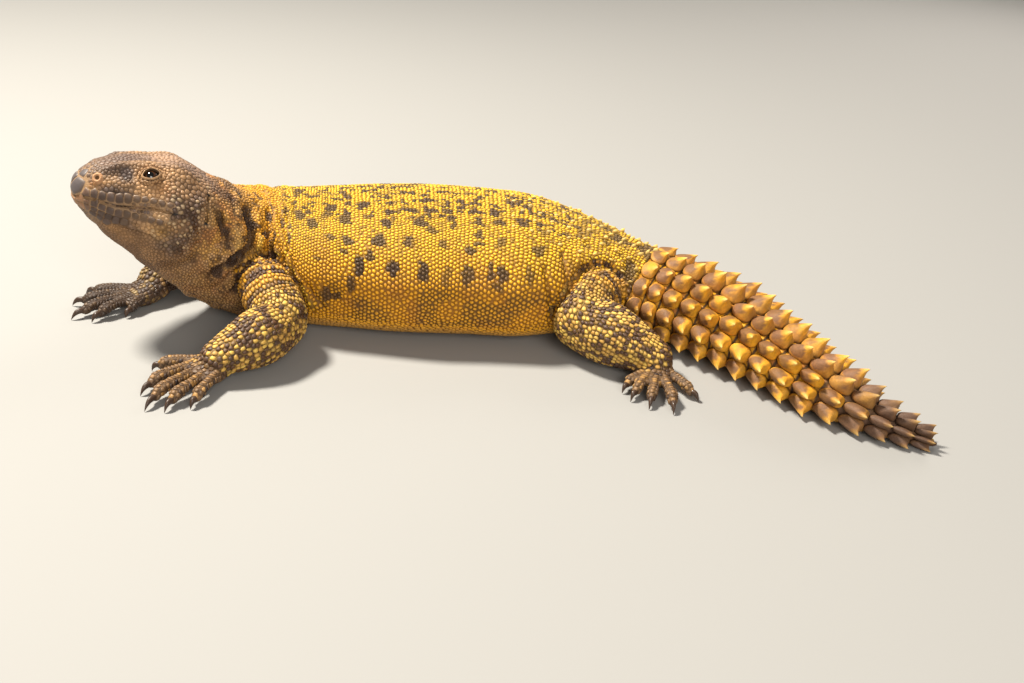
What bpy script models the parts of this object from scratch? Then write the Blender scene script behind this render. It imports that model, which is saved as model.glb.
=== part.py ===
"""A uromastyx, a stout desert lizard, basking on its belly with its head raised, at life size.

Lengths in this file are millimetres, and MM turns them into Blender's metres. The head points along -X, the
animal's left side faces -Y, and the origin is on the floor under the middle of the belly. Angles go round the
body from 0 at the animal's left over 90 on its back to 180 at its right, and -90 is under its belly.
"""

import math
from collections import namedtuple

import bmesh
import bpy
import numpy as np
from mathutils import Vector

MM = 0.001
GAP = 0.3  # between two nodes that touch
LEAN_LEAST = 0.45  # how far a corner may lean from its faces when an object is grown
TINY = 1e-9
STEP = 0.02  # along the body's stations, to read its direction

# The body from snout to tail tip: where the middle of each cross-section lies, its half width, its height above
# and depth below that middle, how boxy its upper and lower halves are (2 is an ellipse), and its roll to the left.
Station = namedtuple("Station", "x y z wide up down boxy_up boxy_down roll")
BODY = {
    "snout_tip": Station(-142.8, -21.2, 61.6, 2.4, 1.8, 2.6, 2.0, 2.0, 6),
    "snout_front": Station(-141.6, -21.0, 61.7, 5.8, 4.6, 6.4, 2.1, 2.1, 6),
    "lips": Station(-139.0, -20.4, 61.8, 8.8, 7.6, 10.0, 2.3, 2.2, 6),
    "nose": Station(-134.0, -19.4, 61.4, 12.0, 11.2, 13.9, 2.5, 2.3, 6),
    "before_eye": Station(-127.2, -18.0, 60.0, 14.8, 14.0, 18.6, 2.6, 2.3, 6),
    "eye": Station(-119.6, -16.3, 57.4, 17.6, 16.6, 21.2, 2.6, 2.3, 6),
    "cheek": Station(-111.8, -14.7, 53.4, 20.2, 20.2, 23.2, 2.4, 2.3, 5),
    "jaw_end": Station(-105.0, -13.2, 48.4, 20.8, 20.2, 25.0, 2.3, 2.2, 4),
    "throat": Station(-91.0, -7.0, 39.5, 21.5, 20.0, 30.0, 2.2, 2.2, 2),
    "neck_base": Station(-78.0, -1.0, 32.0, 27.0, 22.5, 32.0, 2.2, 2.2, 0),
    "shoulder": Station(-62.0, 1.0, 28.5, 34.0, 23.5, 30.5, 2.1, 2.3, 0),
    "chest": Station(-42.0, 0.0, 27.5, 39.5, 24.5, 30.0, 2.1, 2.4, 0),
    "ribs": Station(-5.0, -2.5, 27.5, 46.0, 25.0, 30.0, 2.1, 2.5, 0),
    "belly": Station(32.0, -8.0, 27.0, 46.0, 24.5, 29.5, 2.1, 2.5, 0),
    "loin": Station(60.0, -14.0, 24.5, 37.0, 21.0, 27.0, 2.1, 2.4, 0),
    "hip": Station(79.0, -20.0, 20.5, 28.0, 18.0, 22.5, 2.1, 2.2, 0),
    "tail_root": Station(94.0, -29.5, 18.0, 22.0, 16.8, 19.0, 2.1, 2.1, 0),
    "tail_fore": Station(112.0, -48.0, 15.6, 18.0, 14.8, 16.4, 2.1, 2.1, 0),
    "tail_thick": Station(127.0, -71.5, 12.8, 14.8, 12.0, 13.6, 2.1, 2.1, 0),
    "tail_half": Station(139.5, -96.0, 10.0, 11.0, 9.4, 10.8, 2.1, 2.1, 0),
    "tail_aft": Station(151.0, -114.5, 7.4, 7.4, 6.6, 8.2, 2.1, 2.1, 0),
    "tail_thin": Station(162.0, -125.0, 5.0, 4.8, 4.2, 5.6, 2.1, 2.1, 0),
    "tail_end": Station(170.5, -130.5, 3.2, 2.8, 2.4, 3.7, 2.0, 2.0, 0),
    "tail_tip": Station(176.5, -133.0, 1.8, 0.9, 0.8, 1.8, 2.0, 2.0, 0),
}
ORDER = list(BODY)
ROWS = np.array(list(BODY.values()), float)
LAST = len(ROWS) - 1.0
HEAD_NECK = ORDER.index("jaw_end") + 0.4
NECK_TORSO = ORDER.index("neck_base") + 0.3


def smooth_rows(rows, at):
    """Rows of numbers read at fractional places, on a curve that doesn't overshoot them."""
    rows = np.asarray(rows, float)
    at = np.atleast_1d(np.asarray(at, float))
    step = np.diff(rows, axis=0)
    before, after = step[:-1], step[1:]
    same = before * after > 0
    slope = np.empty_like(rows)
    slope[1:-1] = np.where(same, 2 * before * after / np.where(same, before + after, 1), 0)
    slope[0], slope[-1] = step[0], step[-1]
    cell = np.clip(np.floor(at).astype(int), 0, len(rows) - 2)
    f = (at - cell)[:, None]
    low, high = rows[cell], rows[cell + 1]
    return (
        low * (1 + 2 * f) * (1 - f) ** 2
        + slope[cell] * f * (1 - f) ** 2
        + high * f * f * (3 - 2 * f)
        + slope[cell + 1] * f * f * (f - 1)
    )


def unit(v):
    v = np.asarray(v, float)
    return v / np.maximum(np.linalg.norm(v, axis=-1, keepdims=True), TINY)


# The length along the body's middle, from the snout tip, against the station.
FINE = np.linspace(0, LAST, 2400)
ALONG = np.concatenate([[0], np.cumsum(np.linalg.norm(np.diff(smooth_rows(ROWS[:, :3], FINE), axis=0), axis=1))])


def along(t):
    return np.interp(t, FINE, ALONG)


def station_at(length):
    return np.interp(length, ALONG, FINE)


def body_frames(t):
    """The cross-sections at stations t: their rows of sizes, and their left, up and backward directions."""
    here = smooth_rows(ROWS, t)
    ends = [smooth_rows(ROWS[:, :3], np.clip(t + step, 0, LAST)) for step in (-STEP, STEP)]
    back = unit(ends[1] - ends[0])
    left = unit(np.cross(back, (0, 0, 1)))
    up = np.cross(left, back)
    roll = np.radians(here[:, 8:9])
    return here, left * np.cos(roll) + up * np.sin(roll), up * np.cos(roll) - left * np.sin(roll), back


# Folds and ridges of the skin: a line of (station, angle on either side), how far it stands out, and half its width.
MOUTH = [(0.0, -14), (0.5, -14), (1.5, -5), (2.6, -4), (3.2, -6), (3.8, -6), (4.3, -4), (5.1, 0), (5.7, 3), (6.2, 6)]
FOLDS = {
    "brow": ([(3.8, 58), (4.6, 64), (5.3, 67), (6.1, 58)], 1.5, 2.2),
    "snout_edge": ([(2.4, 52), (3.2, 54), (3.8, 58)], 0.5, 2.0),
    "before_eye": ([(3.7, 38), (4.1, 36)], -0.9, 2.6),
    "temple": ([(5.7, 38), (6.2, 36)], -0.7, 2.5),
    "cheek": ([(6.0, -6), (6.7, 0)], 1.2, 5.0),
    "upper_lip": ([(t, a + 7) for t, a in MOUTH], 0.55, 1.5),
    "lower_lip": ([(t, a - 7) for t, a in MOUTH], 0.45, 1.5),
    "chin_crease": ([(3.9, -38), (4.75, -32), (5.8, -24)], -0.8, 1.3),
    "jaw_crease": ([(7.0, 12), (7.2, -8), (7.3, -24), (7.15, -44)], -1.7, 1.8),
    "ear_fold": ([(7.25, 30), (7.42, 16), (7.65, 7), (7.8, -4)], -1.9, 1.7),
    "neck_fold_1": ([(8.0, 48), (8.15, 26), (8.25, 6), (8.1, -9), (7.9, -21), (7.75, -35)], -1.9, 2.0),
    "neck_fold_2": ([(8.5, 50), (8.6, 26), (8.7, 8), (8.6, -6)], -1.4, 1.8),
    "neck_fold_3": ([(9.0, 34), (9.2, 12), (9.45, 4), (9.9, -6)], -1.5, 1.5),
    "neck_fold_4": ([(9.35, 24), (9.7, 10), (10.1, 0), (10.4, -12)], -1.3, 1.5),
    "groin_fold": ([(14.1, 34), (14.35, 12), (14.3, -10)], -1.2, 2.2),
}
DEGREE = 0.32  # of the way round, in millimetres, where folds lie


def left_angle(angle):
    """The angle on the animal's left that mirrors the given one."""
    turned = (np.asarray(angle, float) + 90) % 360
    return np.where(turned > 180, 360 - turned, turned) - 90


def fold_height(t, angle):
    """How far all folds and ridges together lift the skin."""
    place = np.stack([along(t), left_angle(angle) * DEGREE], axis=-1)
    total = np.zeros(place.shape[:-1])
    for line, height, width in FOLDS.values():
        knots = np.array([(along(s), a * DEGREE) for s, a in line])
        near = np.full(total.shape, np.inf)
        for start, end in zip(knots[:-1], knots[1:]):
            course = end - start
            share = np.clip(((place - start) @ course) / (course @ course), 0, 1)
            near = np.minimum(near, np.linalg.norm(place - start - share[..., None] * course, axis=-1))
        total += height * np.exp(-((near / width) ** 2))
    return total


def skin(t, angle, out=0.0):
    """Points of the skin at stations t and angles, raised by out."""
    t, angle, out = (np.array(v, float) for v in np.broadcast_arrays(t, angle, out))
    shape = t.shape
    t, angle, out = t.ravel(), angle.ravel(), out.ravel()
    here, left, up, _ = body_frames(t)
    wide, high, deep, boxy_up, boxy_down = here[:, 3:8].T
    c, s = np.cos(np.radians(angle)), np.sin(np.radians(angle))
    power = 2 / np.where(s > 0, boxy_up, boxy_down)
    raised = out + fold_height(t, angle)
    across = np.sign(c) * np.abs(c) ** power * (wide + raised)
    upright = np.sign(s) * np.abs(s) ** power * (np.where(s > 0, high, deep) + raised)
    points = here[:, :3] + left * across[:, None] + up * upright[:, None]
    return points.reshape(*shape, 3)


def skin_normal(t, angle):
    """The outward direction of the skin."""
    turn = 4.0
    back = skin(t + STEP, angle) - skin(t - STEP, angle)
    around = skin(t, angle + turn) - skin(t, angle - turn)
    return unit(np.cross(back, around))


def on_floor(points):
    points = np.array(points, float)
    points[..., 2] = np.maximum(points[..., 2], 0)
    return points


def closed_object(name, shape):
    """An object from a bmesh, in triangles that face outwards."""
    bmesh.ops.triangulate(shape, faces=shape.faces)
    bmesh.ops.recalc_face_normals(shape, faces=shape.faces)
    if shape.calc_volume(signed=True) < 0:
        bmesh.ops.reverse_faces(shape, faces=shape.faces)
    mesh = bpy.data.meshes.new(name)
    shape.to_mesh(mesh)
    shape.free()
    made = bpy.data.objects.new(name, mesh)
    bpy.context.scene.collection.objects.link(made)
    return made


def mesh_object(name, points, faces):
    """A closed object from points in millimetres."""
    shape = bmesh.new()
    verts = [shape.verts.new(p) for p in np.asarray(points, float) * MM]
    for face in faces:
        shape.faces.new([verts[k] for k in face])
    bmesh.ops.remove_doubles(shape, verts=shape.verts, dist=1e-6)
    bmesh.ops.dissolve_degenerate(shape, edges=shape.edges, dist=1e-7)
    return closed_object(name, shape)


def closed_loft(name, rings):
    """A closed mesh through rings of equal count, with flat ends."""
    rings = np.asarray(rings, float)
    rows, count = rings.shape[:2]
    faces = [
        (r * count + k, r * count + (k + 1) % count, (r + 1) * count + (k + 1) % count, (r + 1) * count + k)
        for r in range(rows - 1)
        for k in range(count)
    ]
    faces += [range(count), range((rows - 1) * count, rows * count)]
    return mesh_object(name, rings.reshape(-1, 3), faces)


def body_length(name, first, last, spacing, sides):
    """One length of the body between two cross-sections, with GAP kept clear at its rear."""
    start, end = along(first), along(last) - GAP
    t = station_at(np.linspace(start, end, max(2, round((end - start) / spacing) + 1)))
    angles = (np.arange(sides) + 0.5) * 360 / sides
    return closed_loft(name, on_floor(skin(t[:, None], angles[None, :])))


def tube(name, rows, sides, spacing, domed_root=True):
    """A closed round form along rows of x, y, z, half width and half height, with domed ends."""
    rows = np.asarray(rows, float)
    length = np.linalg.norm(np.diff(rows[:, :3], axis=0), axis=1)
    run = np.concatenate([[0], np.cumsum(length)])
    count = max(3, round(run[-1] / spacing) + 1)
    mid = smooth_rows(rows, np.interp(np.linspace(0, run[-1], count), run, np.arange(len(rows))))
    course = unit(np.gradient(mid[:, :3], axis=0))
    reach = np.minimum(mid[:, 3], mid[:, 4])
    sections = [(row, heading, row[:3], 1.0) for row, heading in zip(mid, course)]
    for share in (0.8, 0.4):
        out = math.sqrt(1 - share * share)
        sections.append((mid[-1], course[-1], mid[-1, :3] + course[-1] * out * reach[-1], share))
        if domed_root:
            sections.insert(0, (mid[0], course[0], mid[0, :3] - course[0] * out * reach[0], share))
    angles = (np.arange(sides) + 0.5) * math.tau / sides
    rings = []
    for row, heading, place, share in sections:
        side = unit(np.cross(heading, (0, 0, 1) if abs(heading[2]) < 0.95 else (1, 0, 0)))
        up = np.cross(side, heading)
        across, upright = share * row[3] * np.cos(angles), share * row[4] * np.sin(angles)
        rings.append(place + side * across[:, None] + up * upright[:, None])
    return closed_loft(name, on_floor(rings))


def ball(name, centre, radii, axes=None, segments=12, rings=8):
    """An ellipsoid with its half sizes along three axes."""
    axes = np.eye(3) if axes is None else np.asarray(axes)
    shape = bmesh.new()
    bmesh.ops.create_uvsphere(shape, u_segments=segments, v_segments=rings, radius=1)
    for vert in shape.verts:
        vert.co = Vector((np.array(vert.co) * radii) @ axes + centre) * MM
    return closed_object(name, shape)


def replace_mesh(obj, mesh):
    old = obj.data
    obj.data = mesh
    bpy.data.meshes.remove(old)


def keep_largest(obj):
    """Keeps the largest closed surface of a mesh."""
    shape = bmesh.new()
    shape.from_mesh(obj.data)
    left, islands = set(shape.verts), []
    while left:
        queue = [left.pop()]
        island = set(queue)
        while queue:
            for edge in queue.pop().link_edges:
                for vert in edge.verts:
                    if vert in left:
                        left.remove(vert)
                        island.add(vert)
                        queue.append(vert)
        islands.append(island)
    islands.sort(key=lambda island: np.prod(np.ptp(np.array([v.co for v in island]), axis=0) + 1e-6))
    for island in islands[:-1]:
        bmesh.ops.delete(shape, geom=list(island), context="VERTS")
    shape.to_mesh(obj.data)
    shape.free()


def boolean(obj, tools, operation, solver="EXACT"):
    """Joins the tools to an object, or cuts them from it, in one Boolean, and removes them."""
    group = bpy.data.collections.new("tools")
    bpy.context.scene.collection.children.link(group)
    for tool in tools:
        bpy.context.scene.collection.objects.unlink(tool)
        group.objects.link(tool)
    modifier = obj.modifiers.new("join", "BOOLEAN")
    modifier.operation = operation
    modifier.operand_type = "COLLECTION"
    modifier.collection = group
    modifier.solver = solver
    bpy.context.view_layer.update()
    graph = bpy.context.evaluated_depsgraph_get()
    replace_mesh(obj, bpy.data.meshes.new_from_object(obj.evaluated_get(graph)))
    obj.modifiers.clear()
    for tool in tools:
        bpy.data.objects.remove(tool)
    bpy.data.collections.remove(group)
    keep_largest(obj)
    return obj


def grown(obj, by=GAP * 1.3):
    """A copy of an object whose faces all stand this many millimetres further out."""
    shape = bmesh.new()
    shape.from_mesh(obj.data)
    shape.normal_update()
    moves = []
    for vert in shape.verts:
        lean = min((vert.normal.dot(face.normal) for face in vert.link_faces), default=1)
        moves.append(vert.normal * by * MM / max(lean, LEAN_LEAST))
    for vert, move in zip(shape.verts, moves):
        vert.co += move
    mesh = bpy.data.meshes.new(obj.name + "_grown")
    shape.to_mesh(mesh)
    shape.free()
    made = bpy.data.objects.new(mesh.name, mesh)
    bpy.context.scene.collection.objects.link(made)
    return made


def clear_of(obj, *others):
    """Cuts an object back so that it meets the others face to face."""
    return boolean(obj, [grown(other) for other in others], "DIFFERENCE")


# The head's details, as (station, angle) on the left and mirrored on the right.
EYE_PLACE, EYE_RADIUS, EYE_DEPTH = (4.95, 42.0), 3.7, 2.8
EYE_CORNERS = ((4.6, 33.0), (5.3, 45.0))
LID_THICK, EYE_OPENING = 0.6, (3.2, 2.1)
NOSTRIL_PLACE, NOSTRIL_RADIUS, NOSTRIL_RIM, NOSTRIL_DEEP = (2.95, 34.0), 0.8, 2.1, 2.0
EAR_LINE, EAR_SIZE = ((7.05, 44.0), (7.18, 8.0)), (6.0, 0.9, 2.2)
HEAD_SPACING = 2.5
MOUTH_END, MOUTH_DEEP = 6.1, 1.1
SIDE_TURNS = (-82, -70, -58, -46, -36, -27, -19, -12, -7, -3, 0, 3, 7, 12, 19, 27, 36, 46, 56, 66, 76, 85)


def mirror_angle(angle, side):
    return angle if side == "left" else 180 - angle


def mouth_angle(t):
    return np.interp(t, *zip(*MOUTH))


def head_skin(t):
    """One cross-section of the head, with its points gathered along the mouth line and that line sunk in."""
    turns = np.array(SIDE_TURNS, float)
    angles = turns + mouth_angle(t) * np.exp(-((turns / 45) ** 2))
    fade = np.clip((MOUTH_END - t) / 0.8, 0, 1) * np.clip(t / 0.5, 0, 1)
    out = np.where(turns == 0, -MOUTH_DEEP * fade, 0)
    left = skin(t, angles, out)
    right = skin(t, 180 - angles, out)
    return np.concatenate([left, right[::-1]])


def surface_axes(t, angle, towards=None):
    """Three axes at a place on the skin: along it towards the rear or a given point, across, and outwards."""
    out = skin_normal(t, angle)
    lengthwise = skin(t + STEP, angle) - skin(t - STEP, angle) if towards is None else towards
    lengthwise = unit(lengthwise - out * (lengthwise @ out))
    return np.array([lengthwise, np.cross(out, lengthwise), out])


def eye_centre(side):
    t, angle = EYE_PLACE[0], mirror_angle(EYE_PLACE[1], side)
    return skin(t, angle) - skin_normal(t, angle) * EYE_DEPTH


def head():
    """The head, with lids round its eye sockets, nostrils, ear slits, and a mouth line between its lips."""
    start, end = 0.0, along(HEAD_NECK) - GAP
    places = station_at(np.linspace(start, end, round((end - start) / HEAD_SPACING) + 1))
    places = np.concatenate([[0, 0.45, 1.0], places[places > 1.2]])
    made = closed_loft("head", [head_skin(t) for t in places])
    added, cut = [], []
    for side in ("left", "right"):
        centre = eye_centre(side)
        front, rear = (skin(t, mirror_angle(a, side)) for t, a in EYE_CORNERS)
        axes = surface_axes(EYE_PLACE[0], mirror_angle(EYE_PLACE[1], side), rear - front)
        lid = EYE_RADIUS + GAP + LID_THICK
        added.append(ball("lids", centre, (lid, lid, lid)))
        cut.append(ball("socket", centre, [EYE_RADIUS + GAP] * 3))
        opening = centre + axes[2] * EYE_RADIUS
        cut.append(ball("opening", opening, (*EYE_OPENING, EYE_RADIUS - 0.5), axes))
        t, angle = NOSTRIL_PLACE[0], mirror_angle(NOSTRIL_PLACE[1], side)
        axes = surface_axes(t, angle)
        added.append(ball("rim", skin(t, angle) - axes[2] * 0.5, (NOSTRIL_RIM, NOSTRIL_RIM, 1.2), axes, 12, 6))
        cut.append(ball("nostril", skin(t, angle) + axes[2] * 0.5, (NOSTRIL_RADIUS, NOSTRIL_RADIUS, NOSTRIL_DEEP), axes, 8, 6))
        top, bottom = (skin(t, mirror_angle(a, side)) for t, a in EAR_LINE)
        middle = (EAR_LINE[0][0] + EAR_LINE[1][0]) / 2, mirror_angle((EAR_LINE[0][1] + EAR_LINE[1][1]) / 2, side)
        cut.append(ball("ear", skin(*middle), EAR_SIZE, surface_axes(*middle, top - bottom), 10, 8))
    return boolean(boolean(made, added, "UNION"), cut, "DIFFERENCE")


# The tail: whorls from its root to its tip, each a low step with a ring of thorny spines that lean backwards.
WHORL_FIRST, WHORL_COUNT = 15.75, 15
WHORL_SHARES = [(0, 0.78), (3, 1.0), (9, 1.0), (14, 0.72)]  # whorl, and its length against the longest
TAIL_NODES = (("tail_base", 5, 9), ("tail_mid", 5, 8), ("tail_tip", 5, 6))  # whorls, and spines in each whorl
SPINE_FROM, SPINE_TO = -38, 218  # degrees, so the underside stays smooth
SPINE_TALL, SPINE_SIDES = 0.5, 4  # height against the whorl's length
SPINE_GROWTH = [(0, 0.6), (3, 1.0), (10, 1.0), (14, 0.8)]  # whorl, and the share of that height
UNDER_SIDES = 4


def whorl_bounds():
    """Lengths along the body where each whorl starts, and where the last one ends."""
    share = np.interp(np.arange(WHORL_COUNT), *zip(*WHORL_SHARES))
    first, last = along(WHORL_FIRST), ALONG[-1] - 3.0
    return first + np.concatenate([[0], np.cumsum(share)]) / share.sum() * (last - first)


def spine(start, pitch, angle, wide, tall):
    """One spine: a sunk root, a keeled shoulder and a tip that leans backwards, inside its own whorl."""
    turn = np.arange(SPINE_SIDES) / SPINE_SIDES * math.tau

    def ring(middle, half_long, half_wide, out):
        t = station_at(start + pitch * (middle + half_long * np.cos(turn)))
        return skin(t, angle + half_wide * np.sin(turn), out)

    rings = [
        ring(0.48, 0.48, wide * 0.56, -1.6),
        ring(0.57, 0.38, wide * 0.44, tall * 0.36),
        ring(0.95, 0.02, wide * 0.02, tall),
    ]
    return closed_loft("spine", on_floor(rings))


def tail_node(name, first, bounds, spines_round, random):
    """A length of the tail with whole whorls of spines, each spine on a facet of its own."""
    steps, outs = [], []
    for low, high in zip(bounds[:-1], bounds[1:]):
        steps += [low + 0.03 * (high - low), high - 0.03 * (high - low)]
        outs += [-0.2, 0.5]
    steps[0], steps[-1] = bounds[0], bounds[-1] - GAP
    rings_t = station_at(np.array(steps))
    over = np.linspace(SPINE_FROM, SPINE_TO, spines_round + 1)
    under = np.linspace(SPINE_TO, SPINE_FROM + 360, UNDER_SIDES + 1)
    angles = np.concatenate([over, under[1:-1]])
    if bounds[-1] > ALONG[-1] - 4:
        rings_t, outs = np.append(rings_t, [LAST - 0.3, LAST]), [*outs, 0, -0.3]
    made = closed_loft(name, on_floor(skin(rings_t[:, None], angles[None, :], np.array(outs)[:, None])))
    wide = over[1] - over[0]
    spines = []
    for k, (low, high) in enumerate(zip(bounds[:-1], bounds[1:]), first):
        size = np.interp(k, *zip(*SPINE_GROWTH))
        for left_edge in over[:-1]:
            tall = (high - low) * SPINE_TALL * size * random.uniform(0.9, 1.1)
            spines.append(spine(low, high - low, left_edge + wide / 2, wide, tall))
    return boolean(made, spines, "UNION")


# The limbs, as rows of x, y, z, half width and half height. Each starts inside what carries it.
ARM_LEFT = {
    "upper_arm": [(-72, -12, 26, 10, 11), (-71, -30, 23.5, 11.5, 12), (-66, -43, 17, 10.5, 11)],
    "forearm": [(-66, -45, 15, 10, 10.5), (-74, -53, 13.5, 11.2, 11.5), (-83, -58, 11, 9.8, 9.2), (-90, -61, 9, 8.2, 6.5)],
}
ARM_RIGHT = {
    "upper_arm": [(-72, 14, 26, 10, 11), (-81, 28, 24, 11, 11.5), (-91, 37, 17, 10.5, 11)],
    "forearm": [(-91, 37, 15, 10, 10.5), (-101, 29, 13.5, 11, 11.5), (-111, 18, 11, 9.3, 9.2), (-119, 11, 9, 8.2, 6.5)],
}
LEG_LEFT = {
    "thigh": [(74, -20, 22, 12, 12), (62, -39, 21.5, 15, 15.5), (55, -52, 18, 12, 13)],
    "shin": [(55, -53, 16.5, 11.5, 12), (64, -60.5, 15, 12.8, 13), (74, -66.5, 12, 11.2, 10.5), (82.5, -71.5, 9, 8.8, 7)],
}
LEG_MIRROR = -13.0  # the right hind leg is the left one's mirror image in the plane at this y
LIMB_SIDES, TOE_SIDES, LIMB_SPACING = 14, 6, 6.0


def mirrored(point):
    return (point[0], 2 * LEG_MIRROR - point[1], *point[2:])


# A foot: the middle of its palm, the way it heads, in degrees to the left of -X, and where each toe's root,
# knuckle and claw tip stand, inner toe first, with the heights of roots and knuckles the same on every toe.
Foot = namedtuple("Foot", "x y heading toes")
FOOT_FORE_LEFT = Foot(
    -93.5,
    -62,
    38,
    (
        ((-97, -56), (-110, -55), (-115.5, -54.5)),
        ((-99, -59), (-112.5, -67), (-118, -73)),
        ((-97, -62.5), (-110.5, -76), (-115.5, -84)),
        ((-93, -65), (-104.5, -79), (-108.5, -85.5)),
        ((-89, -66), (-96.5, -78.5), (-99.5, -84)),
    ),
)
FOOT_FORE_RIGHT = Foot(
    -124,
    6,
    20,
    (
        ((-124, -1), (-127, -5), (-130, -9)),
        ((-128, -1), (-138, -8), (-143, -12.5)),
        ((-131, 2), (-144, -5), (-151.5, -9.5)),
        ((-131, 6), (-145, 3), (-153, 4)),
        ((-130, 10), (-142, 11), (-149, 15)),
    ),
)
FOOT_HIND_LEFT = Foot(
    81,
    -76,
    76,
    (
        ((75, -79), (69.5, -81.5), (65.5, -85)),
        ((77, -81), (71, -87), (67, -91.5)),
        ((80, -82), (75.5, -91.5), (72.5, -98)),
        ((83, -81), (82.5, -95), (81, -102.5)),
        ((86, -78), (91, -88.5), (94.5, -94)),
    ),
)
FOOT_HIND_RIGHT = Foot(
    81,
    2 * LEG_MIRROR + 76,
    -76,
    tuple(tuple(mirrored(place) for place in toe) for toe in FOOT_HIND_LEFT.toes),
)
PALM_WIDE, PALM_HIGH, PALM_Z = 8.6, 5.4, 5.0
TOE_RADIUS, TOE_TIP_RADIUS, TOE_ROOT_Z, TOE_Z = 2.7, 2.1, 5.0, 4.4
CLAW_SHARE, CLAW_RADIUS, CLAW_SIDES = 0.45, 1.25, 6  # the share of the toe beyond its knuckle that is claw


def heading_vector(degrees):
    return np.array([-math.cos(math.radians(degrees)), -math.sin(math.radians(degrees)), 0.0])


def limb(table, piece, side):
    return tube(f"{piece}_{side}", table[piece], LIMB_SIDES, LIMB_SPACING)


def claw(bed, tip):
    """A curved claw from its bed in the toe to its tip on the floor."""
    reach = tip - bed
    side = unit(np.cross(reach, (0, 0, 1)))
    up = unit(np.cross(side, reach))
    turn = np.arange(CLAW_SIDES) * math.tau / CLAW_SIDES
    rings = []
    for share in (0, 0.4, 0.75, 1):
        place = bed + reach * share + up * 1.2 * math.sin(share * math.pi)
        thick = CLAW_RADIUS * (1 - 0.85 * share)
        rings.append(place + thick * (side * np.cos(turn)[:, None] + up * np.sin(turn)[:, None]))
    return closed_loft("claw", on_floor(rings))


def foot(name, plan):
    """A palm, its toes and their claws, all resting on the floor."""
    palm_at = np.array([plan.x, plan.y, PALM_Z])
    ahead = heading_vector(plan.heading)
    palm_rows = [
        (*(palm_at - ahead * 6 + (0, 0, 2)), 7.5, 5.5),
        (*palm_at, PALM_WIDE, PALM_HIGH),
        (*(palm_at + ahead * 4 - (0, 0, 1)), PALM_WIDE - 0.5, PALM_HIGH - 1.2),
    ]
    palm = tube(name, palm_rows, LIMB_SIDES, LIMB_SPACING)
    pieces = []
    for toe_root, knuckle, claw_tip in plan.toes:
        root = np.array([*toe_root, TOE_ROOT_Z])
        joint = np.array([*knuckle, TOE_Z])
        tip = np.array([*claw_tip, 0.3])
        bed = joint + (tip - joint) * (1 - CLAW_SHARE) * 0.5
        bed[2] = TOE_Z - 1.2
        rows = [(*root, TOE_RADIUS, TOE_RADIUS), (*joint, TOE_RADIUS, TOE_RADIUS), (*bed, TOE_TIP_RADIUS, TOE_TIP_RADIUS)]
        pieces.append(tube("toe", rows, TOE_SIDES, 5, domed_root=False))
        pieces.append(claw(bed, tip))
    return boolean(palm, pieces, "UNION")


# Finish: each node's colour, roughness and whether its faces are shaded smooth.
COLOURS = {
    "head": (0.12, 0.09, 0.07),
    "neck": (0.42, 0.2, 0.08),
    "torso": (0.62, 0.42, 0.06),
    "tail": (0.55, 0.36, 0.08),
    "limb": (0.14, 0.09, 0.05),
    "eye": (0.03, 0.02, 0.015),
}
SKIN_ROUGH, EYE_ROUGH = 0.6, 0.1


def finish(obj):
    kind = next((key for key in COLOURS if obj.name.startswith(key)), "limb")
    material = bpy.data.materials.new(obj.name)
    material.use_nodes = True
    shader = material.node_tree.nodes["Principled BSDF"]
    shader.inputs["Base Color"].default_value = (*COLOURS[kind], 1)
    shader.inputs["Roughness"].default_value = EYE_ROUGH if kind == "eye" else SKIN_ROUGH
    obj.data.materials.clear()
    obj.data.materials.append(material)
    for face in obj.data.polygons:
        face.use_smooth = kind in ("torso", "eye", "limb")


def build():
    for old in list(bpy.data.objects):
        bpy.data.objects.remove(old)
    random = np.random.default_rng(7)
    bounds = whorl_bounds()
    head()
    for side in ("left", "right"):
        ball(f"eye_{side}", eye_centre(side), [EYE_RADIUS] * 3)
    neck = body_length("neck", HEAD_NECK, NECK_TORSO, 3.4, 40)
    torso = body_length("torso", NECK_TORSO, WHORL_FIRST, 8, 32)
    first = 0
    for name, count, spines_round in TAIL_NODES:
        tail_node(name, first, bounds[first : first + count + 1], spines_round, random)
        first += count
    right_leg = {name: [mirrored(row) for row in rows] for name, rows in LEG_LEFT.items()}
    sides = (
        ("left", ARM_LEFT, LEG_LEFT, FOOT_FORE_LEFT, FOOT_HIND_LEFT),
        ("right", ARM_RIGHT, right_leg, FOOT_FORE_RIGHT, FOOT_HIND_RIGHT),
    )
    for side, arm, leg, fore_plan, hind_plan in sides:
        upper, fore = limb(arm, "upper_arm", side), limb(arm, "forearm", side)
        thigh, shin = limb(leg, "thigh", side), limb(leg, "shin", side)
        clear_of(foot(f"hindfoot_{side}", hind_plan), shin)
        clear_of(foot(f"forefoot_{side}", fore_plan), fore)
        clear_of(fore, upper, torso, neck)
        clear_of(upper, torso, neck)
        clear_of(shin, thigh, torso)
        clear_of(thigh, torso)
    for obj in bpy.data.objects:
        finish(obj)


if __name__ == "__main__":
    build()
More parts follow.
